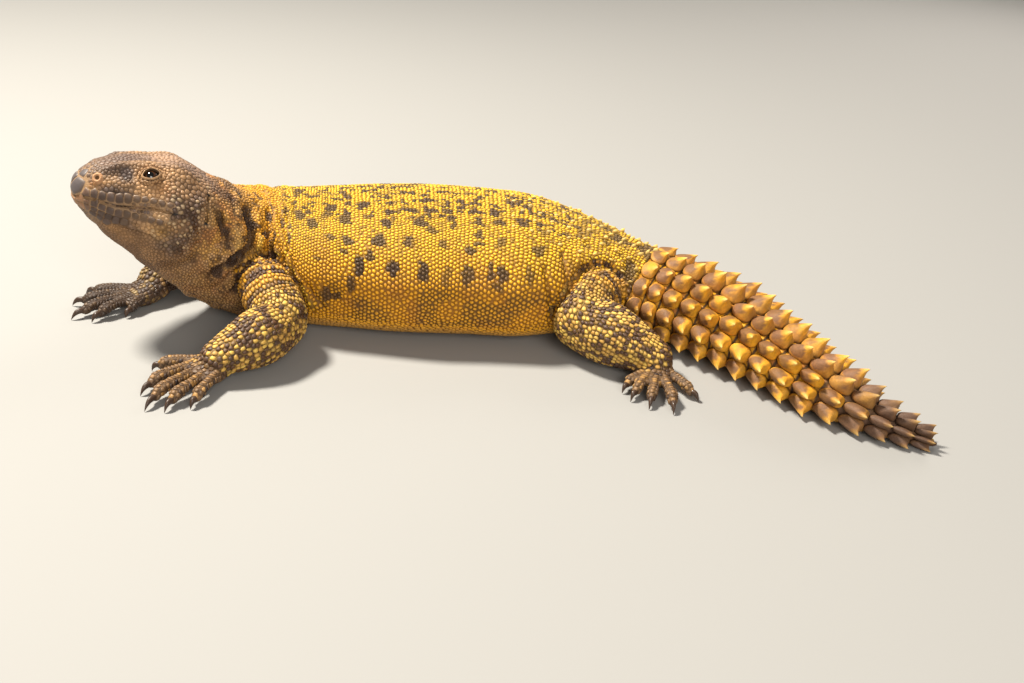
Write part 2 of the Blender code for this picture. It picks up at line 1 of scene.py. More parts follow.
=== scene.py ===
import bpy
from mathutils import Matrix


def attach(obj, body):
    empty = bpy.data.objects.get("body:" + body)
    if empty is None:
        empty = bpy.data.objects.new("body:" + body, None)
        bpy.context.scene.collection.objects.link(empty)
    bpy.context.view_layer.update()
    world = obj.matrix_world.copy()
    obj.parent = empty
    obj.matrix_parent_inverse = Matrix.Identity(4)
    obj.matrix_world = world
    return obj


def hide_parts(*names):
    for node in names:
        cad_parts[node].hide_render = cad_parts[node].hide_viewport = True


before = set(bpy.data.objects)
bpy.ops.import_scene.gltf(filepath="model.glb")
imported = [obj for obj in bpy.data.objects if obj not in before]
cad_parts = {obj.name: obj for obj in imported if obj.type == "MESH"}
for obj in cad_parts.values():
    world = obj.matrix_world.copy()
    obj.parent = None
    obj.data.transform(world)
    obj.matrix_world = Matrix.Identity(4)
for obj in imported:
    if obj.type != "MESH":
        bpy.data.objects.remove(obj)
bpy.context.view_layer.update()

# The looks of the uromastyx: one skin over its body, solid scales and spines that grow on it, eyes and claws.
# Lengths are millimetres until MM turns them into Blender's metres. The head points along -X, the animal's
# left side faces -Y, and the floor is at z = 0. Angles go round the body from 0 at its left over 90 on its
# back.

import math
from collections import namedtuple

import bmesh
import bpy
import numpy as np
from mathutils import Matrix, Vector
from mathutils.bvhtree import BVHTree
from mathutils.kdtree import KDTree

MM = 0.001
TINY = 1e-9
FAR = 99.0  # farther than anything that matters
STEP = 0.02  # along the body's stations, to read its direction
SKIN_DEPTH = 0.45  # how far the skin lies inside the animal's outline, which the scales fill
VOXEL = 0.52
FLOOR_GAP = 0.12  # under the skin
SOLID_GAP = 0.02  # under scales, spines and claws
SIDES = ("left", "right")

# The body from snout to tail tip: where the middle of each cross-section lies, its half width, its height
# above and depth below that middle, how boxy its upper and lower halves are (2 is an ellipse), and its roll
# to the left.
Station = namedtuple("Station", "x y z wide up down boxy_up boxy_down roll")
BODY = {
    "snout_tip": Station(-142.8, -21.2, 61.6, 2.4, 1.8, 2.6, 2.0, 2.0, 6),
    "snout_front": Station(-141.6, -21.0, 61.7, 5.8, 4.6, 6.4, 2.1, 2.1, 6),
    "lips": Station(-139.0, -20.4, 61.8, 8.8, 7.6, 10.0, 2.3, 2.2, 6),
    "nose": Station(-134.0, -19.4, 61.4, 12.0, 11.2, 13.9, 2.5, 2.3, 6),
    "before_eye": Station(-127.2, -18.0, 60.0, 14.8, 14.0, 18.6, 2.6, 2.3, 6),
    "eye": Station(-119.6, -16.3, 57.4, 17.6, 16.6, 21.2, 2.6, 2.3, 6),
    "cheek": Station(-111.8, -14.7, 53.4, 20.2, 20.2, 23.2, 2.4, 2.3, 5),
    "jaw_end": Station(-105.0, -13.2, 48.4, 20.8, 20.2, 25.0, 2.3, 2.2, 4),
    "throat": Station(-91.0, -7.0, 39.5, 21.5, 20.0, 30.0, 2.2, 2.2, 2),
    "neck_base": Station(-78.0, -1.0, 32.0, 27.0, 22.5, 32.0, 2.2, 2.2, 0),
    "shoulder": Station(-62.0, 1.0, 28.5, 34.0, 23.5, 30.5, 2.1, 2.3, 0),
    "chest": Station(-42.0, 0.0, 27.5, 39.5, 24.5, 30.0, 2.1, 2.4, 0),
    "ribs": Station(-5.0, -2.5, 27.5, 46.0, 25.0, 30.0, 2.1, 2.5, 0),
    "belly": Station(32.0, -8.0, 27.0, 46.0, 24.5, 29.5, 2.1, 2.5, 0),
    "loin": Station(60.0, -14.0, 24.5, 37.0, 21.0, 27.0, 2.1, 2.4, 0),
    "hip": Station(79.0, -20.0, 20.5, 28.0, 18.0, 22.5, 2.1, 2.2, 0),
    "tail_root": Station(94.0, -29.5, 18.0, 22.0, 16.8, 19.0, 2.1, 2.1, 0),
    "tail_fore": Station(112.0, -48.0, 15.6, 18.0, 14.8, 16.4, 2.1, 2.1, 0),
    "tail_thick": Station(127.0, -71.5, 12.8, 14.8, 12.0, 13.6, 2.1, 2.1, 0),
    "tail_half": Station(139.5, -96.0, 10.0, 11.0, 9.4, 10.8, 2.1, 2.1, 0),
    "tail_aft": Station(151.0, -114.5, 7.4, 7.4, 6.6, 8.2, 2.1, 2.1, 0),
    "tail_thin": Station(162.0, -125.0, 5.0, 4.8, 4.2, 5.6, 2.1, 2.1, 0),
    "tail_end": Station(170.5, -130.5, 3.2, 2.8, 2.4, 3.7, 2.0, 2.0, 0),
    "tail_tip": Station(176.5, -133.0, 1.8, 0.9, 0.8, 1.8, 2.0, 2.0, 0),
}
ROWS = np.array(list(BODY.values()), float)
LAST = len(ROWS) - 1.0


def smooth_rows(rows, at):
    """Rows of numbers read at fractional places, on a curve that doesn't overshoot them."""
    rows = np.asarray(rows, float)
    at = np.atleast_1d(np.asarray(at, float))
    step = np.diff(rows, axis=0)
    before, after = step[:-1], step[1:]
    same = before * after > 0
    slope = np.empty_like(rows)
    slope[1:-1] = np.where(same, 2 * before * after / np.where(same, before + after, 1), 0)
    slope[0], slope[-1] = step[0], step[-1]
    cell = np.clip(np.floor(at).astype(int), 0, len(rows) - 2)
    f = (at - cell)[:, None]
    low, high = rows[cell], rows[cell + 1]
    return (
        low * (1 + 2 * f) * (1 - f) ** 2
        + slope[cell] * f * (1 - f) ** 2
        + high * f * f * (3 - 2 * f)
        + slope[cell + 1] * f * f * (f - 1)
    )


def unit(v):
    """Directions of length one."""
    v = np.asarray(v, float)
    return v / np.maximum(np.linalg.norm(v, axis=-1, keepdims=True), TINY)


def ease(x, low, high):
    """0 up to low, 1 from high, and a soft step between."""
    f = np.clip((x - low) / (high - low), 0, 1)
    return f * f * (3 - 2 * f)


def run_of(points):
    """How far along a line of points each of them lies."""
    return np.concatenate([[0], np.cumsum(np.linalg.norm(np.diff(points, axis=0), axis=1))])


def read_line(points, run, stops):
    """Places at lengths along a line of points."""
    return np.stack([np.interp(stops, run, points[:, k]) for k in range(3)], axis=-1)


# The length along the body's middle, from the snout tip, against the station.
FINE = np.linspace(0, LAST, 2400)
ALONG = run_of(smooth_rows(ROWS[:, :3], FINE))


def along(t):
    """The length at stations."""
    return np.interp(t, FINE, ALONG)


def station_at(length):
    """The station at lengths."""
    return np.interp(length, ALONG, FINE)


def body_frames(t):
    """The cross-sections at stations t: their rows of sizes, and their left and up directions."""
    here = smooth_rows(ROWS, t)
    ahead, behind = (smooth_rows(ROWS[:, :3], np.clip(t + step, 0, LAST)) for step in (-STEP, STEP))
    back = unit(behind - ahead)
    left = unit(np.cross(back, (0, 0, 1)))
    up = np.cross(left, back)
    roll = np.radians(here[:, 8:9])
    return here, left * np.cos(roll) + up * np.sin(roll), up * np.cos(roll) - left * np.sin(roll)


# Folds and ridges of the skin: a line of (station, angle on either side), how far it stands out, and half
# its width.
MOUTH = [
    (0.0, -14), (0.5, -14), (1.5, -5), (2.6, -4), (3.2, -6),
    (3.8, -6), (4.3, -4), (5.1, 0), (5.7, 3), (6.2, 6),
]
FOLDS = (
    ([(3.8, 58), (4.6, 64), (5.3, 67), (6.1, 58)], 1.5, 2.2),  # brow
    ([(2.4, 52), (3.2, 54), (3.8, 58)], 0.5, 2.0),  # edge of the snout
    ([(3.7, 38), (4.1, 36)], -0.9, 2.6),  # hollow before the eye
    ([(5.7, 38), (6.2, 36)], -0.7, 2.5),  # hollow behind it
    ([(6.0, -6), (6.7, 0)], 1.2, 5.0),  # cheek
    ([(t, a + 7) for t, a in MOUTH], 0.55, 1.5),  # upper lip
    ([(t, a - 7) for t, a in MOUTH], 0.45, 1.5),  # lower lip
    ([(3.9, -38), (4.75, -32), (5.8, -24)], -0.8, 1.3),  # chin crease
    ([(7.0, 12), (7.2, -8), (7.3, -24), (7.15, -44)], -1.7, 1.8),  # jaw crease
    ([(7.25, 30), (7.42, 16), (7.65, 7), (7.8, -4)], -1.9, 1.7),  # behind the ear
    ([(8.0, 48), (8.15, 26), (8.25, 6), (8.1, -9), (7.9, -21), (7.75, -35)], -1.9, 2.0),  # neck
    ([(8.5, 50), (8.6, 26), (8.7, 8), (8.6, -6)], -1.4, 1.8),
    ([(9.0, 34), (9.2, 12), (9.45, 4), (9.9, -6)], -1.5, 1.5),  # over the shoulder
    ([(9.35, 24), (9.7, 10), (10.1, 0), (10.4, -12)], -1.3, 1.5),
    ([(14.1, 34), (14.35, 12), (14.3, -10)], -1.2, 2.2),  # groin
)
# Finer folds that only the skin shows.
CREASES = (
    ([(7.35, -30), (7.5, -42), (7.5, -55)], -0.8, 1.2),
    ([(8.4, -41), (8.4, -22), (8.55, -9), (8.8, 0)], -2.0, 1.2),
    ([(8.05, -43), (8.1, -23), (8.3, -12)], -1.4, 1.0),
    ([(8.0, 44), (8.15, 22), (8.22, 4), (8.05, -12)], -1.9, 1.2),
    ([(7.75, 24), (7.9, 8), (8.0, -2)], 1.2, 1.3),
    ([(8.35, 16), (8.4, 2), (8.3, -10)], 1.1, 1.2),
    ([(7.4, 26), (7.5, 12), (7.6, 0)], -1.4, 0.9),
    ([(4.0, -33), (4.75, -30), (5.7, -23)], -1.1, 0.7),
    ([(7.6, 50), (7.7, 30), (7.85, 16)], -1.4, 1.1),
    ([(8.25, 60), (8.35, 40), (8.4, 20)], -1.2, 1.1),
    ([(8.75, 62), (8.85, 44), (8.95, 26), (9.0, 10)], -1.3, 1.1),
    ([(9.3, 56), (9.5, 40), (9.7, 26)], -1.0, 1.2),
    ([(9.0, 22), (9.3, 8), (9.7, -4), (10.0, -14)], -1.7, 0.9),
    ([(9.2, 16), (9.55, 6), (10.0, -4), (10.3, -14)], 1.5, 1.1),
    ([(9.6, 22), (9.95, 8), (10.35, -2), (10.6, -16)], 1.3, 1.1),
    ([(9.9, 20), (10.2, 6), (10.55, -4), (10.8, -16)], -1.2, 0.9),
    ([(10.9, -4), (11.2, -20)], -0.6, 1.6),
    ([(13.45, 30), (13.6, 2), (13.75, -16)], -1.6, 1.1),
    ([(13.7, 46), (13.85, 22), (13.95, 2)], -1.6, 1.1),
    ([(13.95, 50), (14.1, 30), (14.2, 8)], 0.9, 1.2),
    ([(14.1, 62), (14.35, 44), (14.6, 28)], -1.1, 1.5),
    ([(14.6, 66), (14.85, 48), (15.0, 30)], -0.9, 1.6),
    ([(14.9, 40), (15.3, 20), (15.6, 6)], -0.8, 1.6),
    ([(6.9, 30), (6.8, 14), (6.9, 0)], 0.6, 1.3),
    ([(3.0, 84), (4.0, 88)], 0.6, 3.5),
    ([(5.1, 74), (5.4, 88)], -0.5, 3.0),
)
DEGREE = 0.32  # of the way round, in millimetres, where folds lie


def left_angle(angle):
    """The angle on the animal's left that mirrors the given one."""
    turned = (np.asarray(angle, float) + 90) % 360
    return np.where(turned > 180, 360 - turned, turned) - 90


def fold_height(t, angle, folds=FOLDS):
    """How far folds and ridges together lift the skin."""
    place = np.stack([along(t), left_angle(angle) * DEGREE], axis=-1)
    total = np.zeros(place.shape[:-1])
    for line, height, width in folds:
        knots = np.array([(along(s), a * DEGREE) for s, a in line])
        near = np.full(total.shape, np.inf)
        for start, end in zip(knots[:-1], knots[1:]):
            course = end - start
            share = np.clip(((place - start) @ course) / (course @ course), 0, 1)
            near = np.minimum(near, np.linalg.norm(place - start - share[..., None] * course, axis=-1))
        total += height * np.exp(-((near / width) ** 2))
    return total


def skin(t, angle, out=0.0):
    """Points of the outline at stations t and angles, raised by out."""
    t, angle, out = (np.array(v, float) for v in np.broadcast_arrays(t, angle, out))
    shape = t.shape
    t, angle, out = t.ravel(), angle.ravel(), out.ravel()
    here, left, up = body_frames(t)
    wide, high, deep, boxy_up, boxy_down = here[:, 3:8].T
    c, s = np.cos(np.radians(angle)), np.sin(np.radians(angle))
    power = 2 / np.where(s > 0, boxy_up, boxy_down)
    raised = out + fold_height(t, angle)
    across = np.sign(c) * np.abs(c) ** power * (wide + raised)
    upright = np.sign(s) * np.abs(s) ** power * (np.where(s > 0, high, deep) + raised)
    points = here[:, :3] + left * across[:, None] + up * upright[:, None]
    return points.reshape(*shape, 3)


def skin_normal(t, angle):
    """The outline's outward direction at a station and angle."""
    turn = 4.0
    back = skin(t + STEP, angle) - skin(t - STEP, angle)
    around = skin(t, angle + turn) - skin(t, angle - turn)
    return unit(np.cross(back, around))


def mirror_angle(angle, side):
    """An angle given for the animal's left, on the side that is wanted."""
    return angle if side == "left" else 180 - angle


# The limbs, as rows of x, y, z, half width and half height. Each starts inside what carries it.
ARM_LEFT = {
    "upper_arm": [(-72, -12, 26, 10, 11), (-71, -30, 23.5, 11.5, 12), (-66, -43, 17, 10.5, 11)],
    "forearm": [
        (-66, -45, 15, 10, 10.5), (-74, -53, 13.5, 11.2, 11.5),
        (-83, -58, 11, 9.8, 9.2), (-90, -61, 9, 8.2, 6.5),
    ],
}
ARM_RIGHT = {
    "upper_arm": [(-72, 14, 26, 10, 11), (-81, 28, 24, 11, 11.5), (-91, 37, 17, 10.5, 11)],
    "forearm": [
        (-91, 37, 15, 10, 10.5), (-101, 29, 13.5, 11, 11.5),
        (-111, 18, 11, 9.3, 9.2), (-119, 11, 9, 8.2, 6.5),
    ],
}
LEG_LEFT = {
    "thigh": [(74, -20, 22, 12, 12), (62, -39, 21.5, 15, 15.5), (55, -52, 18, 12, 13)],
    "shin": [
        (55, -53, 16.5, 11.5, 12), (64, -60.5, 15, 12.8, 13),
        (74, -66.5, 12, 11.2, 10.5), (82.5, -71.5, 9, 8.8, 7),
    ],
}
LEG_MIRROR = -13.0  # the right hind leg is the left one's mirror image in the plane at this y


def mirrored(point):
    """A place of the left hind leg, on the right one."""
    return (point[0], 2 * LEG_MIRROR - point[1], *point[2:])


# A foot: the middle of its palm, the way it heads, in degrees to the left of -X, and where each toe's root,
# knuckle and claw tip stand, inner toe first.
Foot = namedtuple("Foot", "x y heading toes")
FOOT_FORE_LEFT = Foot(-93.5, -62, 38, (
    ((-97, -56), (-110, -55), (-115.5, -54.5)),
    ((-99, -59), (-112.5, -67), (-118, -73)),
    ((-97, -62.5), (-110.5, -76), (-115.5, -84)),
    ((-93, -65), (-104.5, -79), (-108.5, -85.5)),
    ((-89, -66), (-96.5, -78.5), (-99.5, -84)),
))
FOOT_FORE_RIGHT = Foot(-124, 6, 20, (
    ((-124, -1), (-127, -5), (-130, -9)),
    ((-128, -1), (-138, -8), (-143, -12.5)),
    ((-131, 2), (-144, -5), (-151.5, -9.5)),
    ((-131, 6), (-145, 3), (-153, 4)),
    ((-130, 10), (-142, 11), (-149, 15)),
))
FOOT_HIND_LEFT = Foot(81, -76, 76, (
    ((75, -79), (69.5, -81.5), (65.5, -85)),
    ((77, -81), (71, -87), (67, -91.5)),
    ((80, -82), (75.5, -91.5), (72.5, -98)),
    ((83, -81), (82.5, -95), (81, -102.5)),
    ((86, -78), (91, -88.5), (94.5, -94)),
))
MIRRORED_TOES = tuple(tuple(mirrored(place) for place in toe) for toe in FOOT_HIND_LEFT.toes)
FOOT_HIND_RIGHT = Foot(81, 2 * LEG_MIRROR + 76, -76, MIRRORED_TOES)
PALM_WIDE, PALM_HIGH, PALM_Z = 8.6, 5.4, 5.0
TOE_RADIUS, TOE_TIP_RADIUS, TOE_ROOT_Z, TOE_Z = 2.7, 2.1, 5.0, 4.4
CLAW_SHARE, CLAW_RADIUS = 0.45, 1.55  # the share of the toe beyond its knuckle that is claw
CLAW_TIP_Z, CLAW_BED_Z = 0.3, TOE_Z - 1.2


def heading_vector(degrees):
    """The direction that many degrees to the left of -X."""
    return np.array([-math.cos(math.radians(degrees)), -math.sin(math.radians(degrees)), 0.0])


class Length:
    """One length of the animal whose surface is read by millimetres along it and the angle round it."""

    def __init__(self, name, kind, rows=None):
        self.name, self.kind = name, kind
        self.rows = None if rows is None else np.asarray(rows, float)
        if rows is None:
            self.total, self.ends = ALONG[-1], (0.0, 0.0)
            return
        self.fine = np.linspace(0, len(rows) - 1, 200)
        self.run = run_of(smooth_rows(self.rows[:, :3], self.fine))
        self.total = self.run[-1]
        self.ends = (min(self.rows[0, 3:5]), min(self.rows[-1, 3:5]))

    def rows_at(self, run):
        """Its rows read at lengths along it."""
        return smooth_rows(self.rows, np.interp(np.clip(run, 0, self.total), self.run, self.fine))

    def at(self, run, angle, out=0.0):
        """Points at lengths and angles, raised by out. Past its ends a limb closes in a dome."""
        if self.rows is None:
            return skin(station_at(run), angle, out)
        run, angle, out = (np.array(v, float) for v in np.broadcast_arrays(run, angle, out))
        shape = run.shape
        run, angle, out = run.ravel(), np.radians(angle.ravel()), out.ravel()
        inside = np.clip(run, 0, self.total)
        here = self.rows_at(inside)
        heading = unit(self.rows_at(inside + 0.5)[:, :3] - self.rows_at(inside - 0.5)[:, :3])
        past = run - inside
        reach = np.where(past < 0, *self.ends)
        share = np.sqrt(np.clip(1 - (past / reach) ** 2, 0, 1))
        side = unit(np.cross(heading, (0, 0, 1)))
        up = np.cross(side, heading)
        across = np.cos(angle) * (here[:, 3] + out) * share
        upright = np.sin(angle) * (here[:, 4] + out) * share
        points = here[:, :3] + heading * past[:, None] + side * across[:, None] + up * upright[:, None]
        return points.reshape(*shape, 3)

    def stops(self, spacing):
        """Lengths of its cross-sections, with those of its domed ends."""
        middle = np.linspace(0, self.total, max(3, round(self.total / spacing) + 1))
        dome = np.sin(np.radians((88, 75, 60, 42, 22)))
        return np.concatenate([-dome * self.ends[0], middle, self.total + dome[::-1] * self.ends[1]])


def claw_places(knuckle, claw_tip):
    """A toe's knuckle, the bed that its claw grows from, and the claw's tip."""
    joint, tip = np.array([*knuckle, TOE_Z]), np.array([*claw_tip, CLAW_TIP_Z])
    bed = joint + (tip - joint) * (1 - CLAW_SHARE) * 0.5
    bed[2] = CLAW_BED_Z
    return joint, bed, tip


def foot_lengths(side, place, plan):
    """The palm and toes of a foot."""
    palm_at, ahead = np.array([plan.x, plan.y, PALM_Z]), heading_vector(plan.heading)
    palm = [
        (*(palm_at - ahead * 6 + (0, 0, 2)), 7.5, 5.5),
        (*palm_at, PALM_WIDE, PALM_HIGH),
        (*(palm_at + ahead * 4 - (0, 0, 1)), PALM_WIDE - 0.5, PALM_HIGH - 1.2),
    ]
    made = [Length(f"palm_{place}_{side}", "palm", palm)]
    for k, (toe_root, knuckle, claw_tip) in enumerate(plan.toes):
        root = np.array([*toe_root, TOE_ROOT_Z])
        joint, bed, _ = claw_places(knuckle, claw_tip)
        middle = (root + joint) / 2 + (0, 0, 0.7)
        rows = [
            (*root, TOE_RADIUS, TOE_RADIUS),
            (*middle, 2.45, 2.5),
            (*joint, TOE_RADIUS, TOE_RADIUS),
            (*bed, TOE_TIP_RADIUS, TOE_TIP_RADIUS),
        ]
        made.append(Length(f"toe_{place}_{side}_{k}", "toe", rows))
    return made


RIGHT_LEG = {name: [mirrored(row) for row in rows] for name, rows in LEG_LEFT.items()}
LENGTHS = [Length("trunk", "trunk")]
for part_side, arm, leg, fore_plan, hind_plan in (
    ("left", ARM_LEFT, LEG_LEFT, FOOT_FORE_LEFT, FOOT_HIND_LEFT),
    ("right", ARM_RIGHT, RIGHT_LEG, FOOT_FORE_RIGHT, FOOT_HIND_RIGHT),
):
    for limb_name, limb_rows in {**arm, **leg}.items():
        LENGTHS.append(Length(f"{limb_name}_{part_side}", limb_name, limb_rows))
    LENGTHS += foot_lengths(part_side, "fore", fore_plan) + foot_lengths(part_side, "hind", hind_plan)


# Meshes from arrays.
def make_mesh(name, points, faces):
    """An object from points in millimetres and arrays of faces, each array with its own number of corners."""
    mesh = bpy.data.meshes.new(name)
    mesh.vertices.add(len(points))
    mesh.vertices.foreach_set("co", (np.asarray(points) * MM).astype(np.float32).ravel())
    corners = np.concatenate([f.ravel() for f in faces]).astype(np.int32)
    counts = np.concatenate([np.full(len(f), f.shape[1]) for f in faces])
    mesh.loops.add(len(corners))
    mesh.loops.foreach_set("vertex_index", corners)
    mesh.polygons.add(len(counts))
    mesh.polygons.foreach_set("loop_start", np.concatenate([[0], np.cumsum(counts)[:-1]]).astype(np.int32))
    mesh.update(calc_edges=True)
    made = bpy.data.objects.new(name, mesh)
    bpy.context.scene.collection.objects.link(made)
    return made


def ring_faces(rows, count, first=0):
    """The quads of a loft through rings of equal count."""
    r, k = np.meshgrid(np.arange(rows - 1), np.arange(count), indexing="ij")
    a, b = r * count + k, r * count + (k + 1) % count
    return np.stack([a, b, b + count, a + count], -1).reshape(-1, 4) + first


def solid_faces(rows, sides, count):
    """The faces of many alike solids: rings of points that close in one tip, and a flat base."""
    each, last = rows * sides + 1, (rows - 1) * sides
    ring = np.arange(sides)
    tips = np.stack([ring + last, (ring + 1) % sides + last, np.full(sides, each - 1)], -1)
    start = (np.arange(count) * each)[:, None, None]
    found = (ring_faces(rows, sides), tips, ring[::-1][None])
    return [(faces[None] + start).reshape(-1, faces.shape[1]) for faces in found]


def smooth(obj):
    """Shades its faces as one rounded surface."""
    obj.data.polygons.foreach_set("use_smooth", np.ones(len(obj.data.polygons), bool))


def read_points(mesh):
    """A mesh's points, in millimetres."""
    points = np.empty(len(mesh.vertices) * 3, np.float32)
    mesh.vertices.foreach_get("co", points)
    return points.reshape(-1, 3).astype(float) / MM


def read_normals(mesh):
    """The outward directions at a mesh's points."""
    normals = np.empty(len(mesh.vertices) * 3, np.float32)
    mesh.vertex_normals.foreach_get("vector", normals)
    return normals.reshape(-1, 3).astype(float)


def write_points(mesh, points):
    """Moves a mesh's points to places in millimetres."""
    mesh.vertices.foreach_set("co", (points * MM).astype(np.float32).ravel())
    mesh.update()


def paint_mesh(mesh, colours):
    """Keeps one colour a vertex, which the materials read by the name paint."""
    colours = np.asarray(colours).reshape(-1, 3)
    opaque = np.concatenate([colours, np.ones((len(colours), 1))], axis=1)
    layer = mesh.attributes.new("paint", "FLOAT_COLOR", "POINT")
    layer.data.foreach_set("color", opaque.astype(np.float32).ravel())


def tree_of(points):
    """A tree of points, to find neighbours in."""
    tree = KDTree(len(points))
    for k, point in enumerate(points):
        tree.insert(point, k)
    tree.balance()
    return tree


def edges_of(mesh):
    """The two ends of each of a mesh's edges."""
    edges = np.empty(len(mesh.edges) * 2, np.int32)
    mesh.edges.foreach_get("vertices", edges)
    return edges.reshape(-1, 2)


def even_out(values, edges, weight, passes):
    """Laplacian smoothing of values at vertices, by each vertex's own weight."""
    count = len(values)
    degree = np.bincount(edges.ravel(), minlength=count)[:, None]
    a, b = edges.T
    for _ in range(passes):
        total = [np.bincount(a, column[b], count) + np.bincount(b, column[a], count) for column in values.T]
        values = values + weight[:, None] * (np.stack(total, axis=-1) / np.maximum(degree, 1) - values)
    return values


LATTICE = np.random.default_rng(11).random((32, 32, 32))


def noise(points, size, shift=0.0):
    """Smooth noise from 0 to 1 whose lumps are about size across."""
    place = np.asarray(points, float) / size + shift
    cell = np.floor(place).astype(int)
    f = place - cell
    f = f * f * (3 - 2 * f)
    total = np.zeros(len(place))
    for corner in np.ndindex(2, 2, 2):
        weight = np.prod(np.where(corner, f, 1 - f), axis=1)
        total += weight * LATTICE[tuple(((cell + corner) % 32).T)]
    return total


# The tail's whorls.
WHORL_FIRST, WHORL_COUNT = 15.75, 15
WHORL_SHARES = [(0, 0.78), (3, 1.0), (9, 1.0), (14, 0.72)]  # whorl, and its length against the longest
SPINE_FROM, SPINE_TO = -38, 218
SPINE_TALL = 0.74
SPINE_GROWTH = [(0, 0.6), (3, 1.0), (10, 1.0), (14, 0.8)]


def whorl_bounds():
    """The lengths at which the whorls begin and the last one ends."""
    share = np.interp(np.arange(WHORL_COUNT), *zip(*WHORL_SHARES))
    first, last = along(WHORL_FIRST), ALONG[-1] - 3.0
    return first + np.concatenate([[0], np.cumsum(share)]) / share.sum() * (last - first)


WHORLS = whorl_bounds()

# The head's details, as (station, angle) on the left and mirrored on the right.
EYE_PLACE, EYE_RADIUS, EYE_DEPTH = (4.95, 42.0), 3.7, 2.8
EYE_CORNERS = ((4.6, 33.0), (5.3, 45.0))
EYE_OPENING = (2.95, 2.0)
LID_POWER = 1.7  # 2 is an ellipse, and less draws its corners out
NOSTRIL_PLACE = (2.95, 34.0)
EAR_LINE = ((7.05, 44.0), (7.18, 8.0))
EYE_REACH = 12  # round an eye, where its lids and their folds lie
# The folds of the lids: how far out they lie, where 1 is the opening's edge, their width and their lift.
LID_FOLDS = ((1.12, 0.1, 0.38), (1.37, 0.08, -0.5), (1.62, 0.12, 0.25), (1.95, 0.14, -0.35))


class Eye:
    """An eyeball's centre, and its axes from front corner to back, across, and outwards."""

    def __init__(self, side):
        t, angle = EYE_PLACE[0], mirror_angle(EYE_PLACE[1], side)
        self.side = side
        self.out = skin_normal(t, angle)
        self.centre = skin(t, angle) - self.out * EYE_DEPTH
        front, rear = (skin(s, mirror_angle(a, side)) for s, a in EYE_CORNERS)
        course = rear - front
        self.rearward = unit(course - self.out * (course @ self.out))
        across = np.cross(self.out, self.rearward)
        self.up = across if across[2] > 0 else -across

    def opening(self, points):
        """How far points lie from the opening's middle, where its edge is 1, and from the ball's centre."""
        gap = points - self.centre
        x, y = np.abs(gap @ self.rearward) / EYE_OPENING[0], np.abs(gap @ self.up) / EYE_OPENING[1]
        rim = (x**LID_POWER + y**LID_POWER) ** (1 / LID_POWER)
        return np.where(gap @ self.out > 0, rim, FAR), np.linalg.norm(gap, axis=-1)


EYES = [Eye(side) for side in SIDES]


def line_on_skin(line, side, spacing=0.25):
    """Close points along a line of stations and angles on the skin."""
    t, angle = np.array(line, float).T
    fine, knots = np.linspace(0, len(line) - 1, 400), range(len(line))
    turned = mirror_angle(np.interp(fine, knots, angle), side)
    places = skin(np.interp(fine, knots, t), turned, -SKIN_DEPTH)
    run = run_of(places)
    return read_line(places, run, np.linspace(0, run[-1], max(2, int(run[-1] / spacing))))


def nearness(points, line):
    """Each point's distance from a line of close points, and how far along it that is, from 0 to 1."""
    tree = tree_of(line)
    found = [tree.find(p) for p in points]
    return np.array([f[2] for f in found]), np.array([f[1] for f in found]) / max(len(line) - 1, 1)


MOUTH_LINES = [line_on_skin(MOUTH[1:], side) for side in SIDES]
EAR_LINES = [line_on_skin(EAR_LINE, side) for side in SIDES]
NOSTRILS = [skin(NOSTRIL_PLACE[0], mirror_angle(NOSTRIL_PLACE[1], side), -SKIN_DEPTH) for side in SIDES]


HEAD_X = -90  # ahead of this lies all of the head


def near_head(points):
    """Which points can be the head's."""
    return points[:, 0] < HEAD_X


# The skin: all lengths joined, smoothed where they meet, and the head's openings worked into it.
def whorl_step(run):
    """The low step of each whorl of the tail, which rises towards its rear."""
    k = np.clip(np.searchsorted(WHORLS, run) - 1, 0, WHORL_COUNT - 1)
    share = np.clip((run - WHORLS[k]) / (WHORLS[k + 1] - WHORLS[k]), 0, 1)
    return np.where((run > WHORLS[0]) & (run < WHORLS[-1]), -0.7 + 0.9 * share, 0)


def joined_lengths():
    """The points and faces of all lengths, each closed at both ends."""
    points, faces, caps, count = [], [], [], 0
    for length in LENGTHS:
        if length.kind == "trunk":
            head_end = along(7.5)
            head, rest = np.arange(0, head_end, 0.6), np.arange(head_end, length.total, 0.9)
            stops, sides = np.concatenate([head, rest, [length.total]]), 260
        else:
            stops, sides = length.stops(1.0), 24 if length.kind == "toe" else 64
        angles = np.arange(sides) * 360 / sides
        out = -SKIN_DEPTH + (whorl_step(stops)[:, None] if length.kind == "trunk" else 0)
        rings = length.at(stops[:, None], angles[None, :], out)
        points.append(rings.reshape(-1, 3))
        faces.append(ring_faces(len(stops), sides, count))
        for first in (count, count + (len(stops) - 1) * sides):
            hub = first + np.arange(sides)
            fan = np.stack([np.full(sides - 2, hub[0]), hub[1:-1], hub[2:]], -1)
            caps.append(fan)
        count += rings.size // 3
    return np.concatenate(points), [np.concatenate(faces), np.concatenate(caps)]


def joint_weights(points):
    """How near points are to where two lengths meet: a limb's root, its bend and its wrist or ankle."""
    weight = np.zeros(len(points))
    for length in LENGTHS:
        if length.kind == "trunk":
            continue
        for end, reach in ((0, 1.5), (-1, 1.3)):
            centre, radius = length.rows[end, :3], length.rows[end, 3]
            if length.kind == "toe" and end == -1:
                continue
            gap = np.linalg.norm(points - centre, axis=1) / (radius * reach + 3)
            weight = np.maximum(weight, 1 - ease(gap, 0.75, 1.15))
    return weight


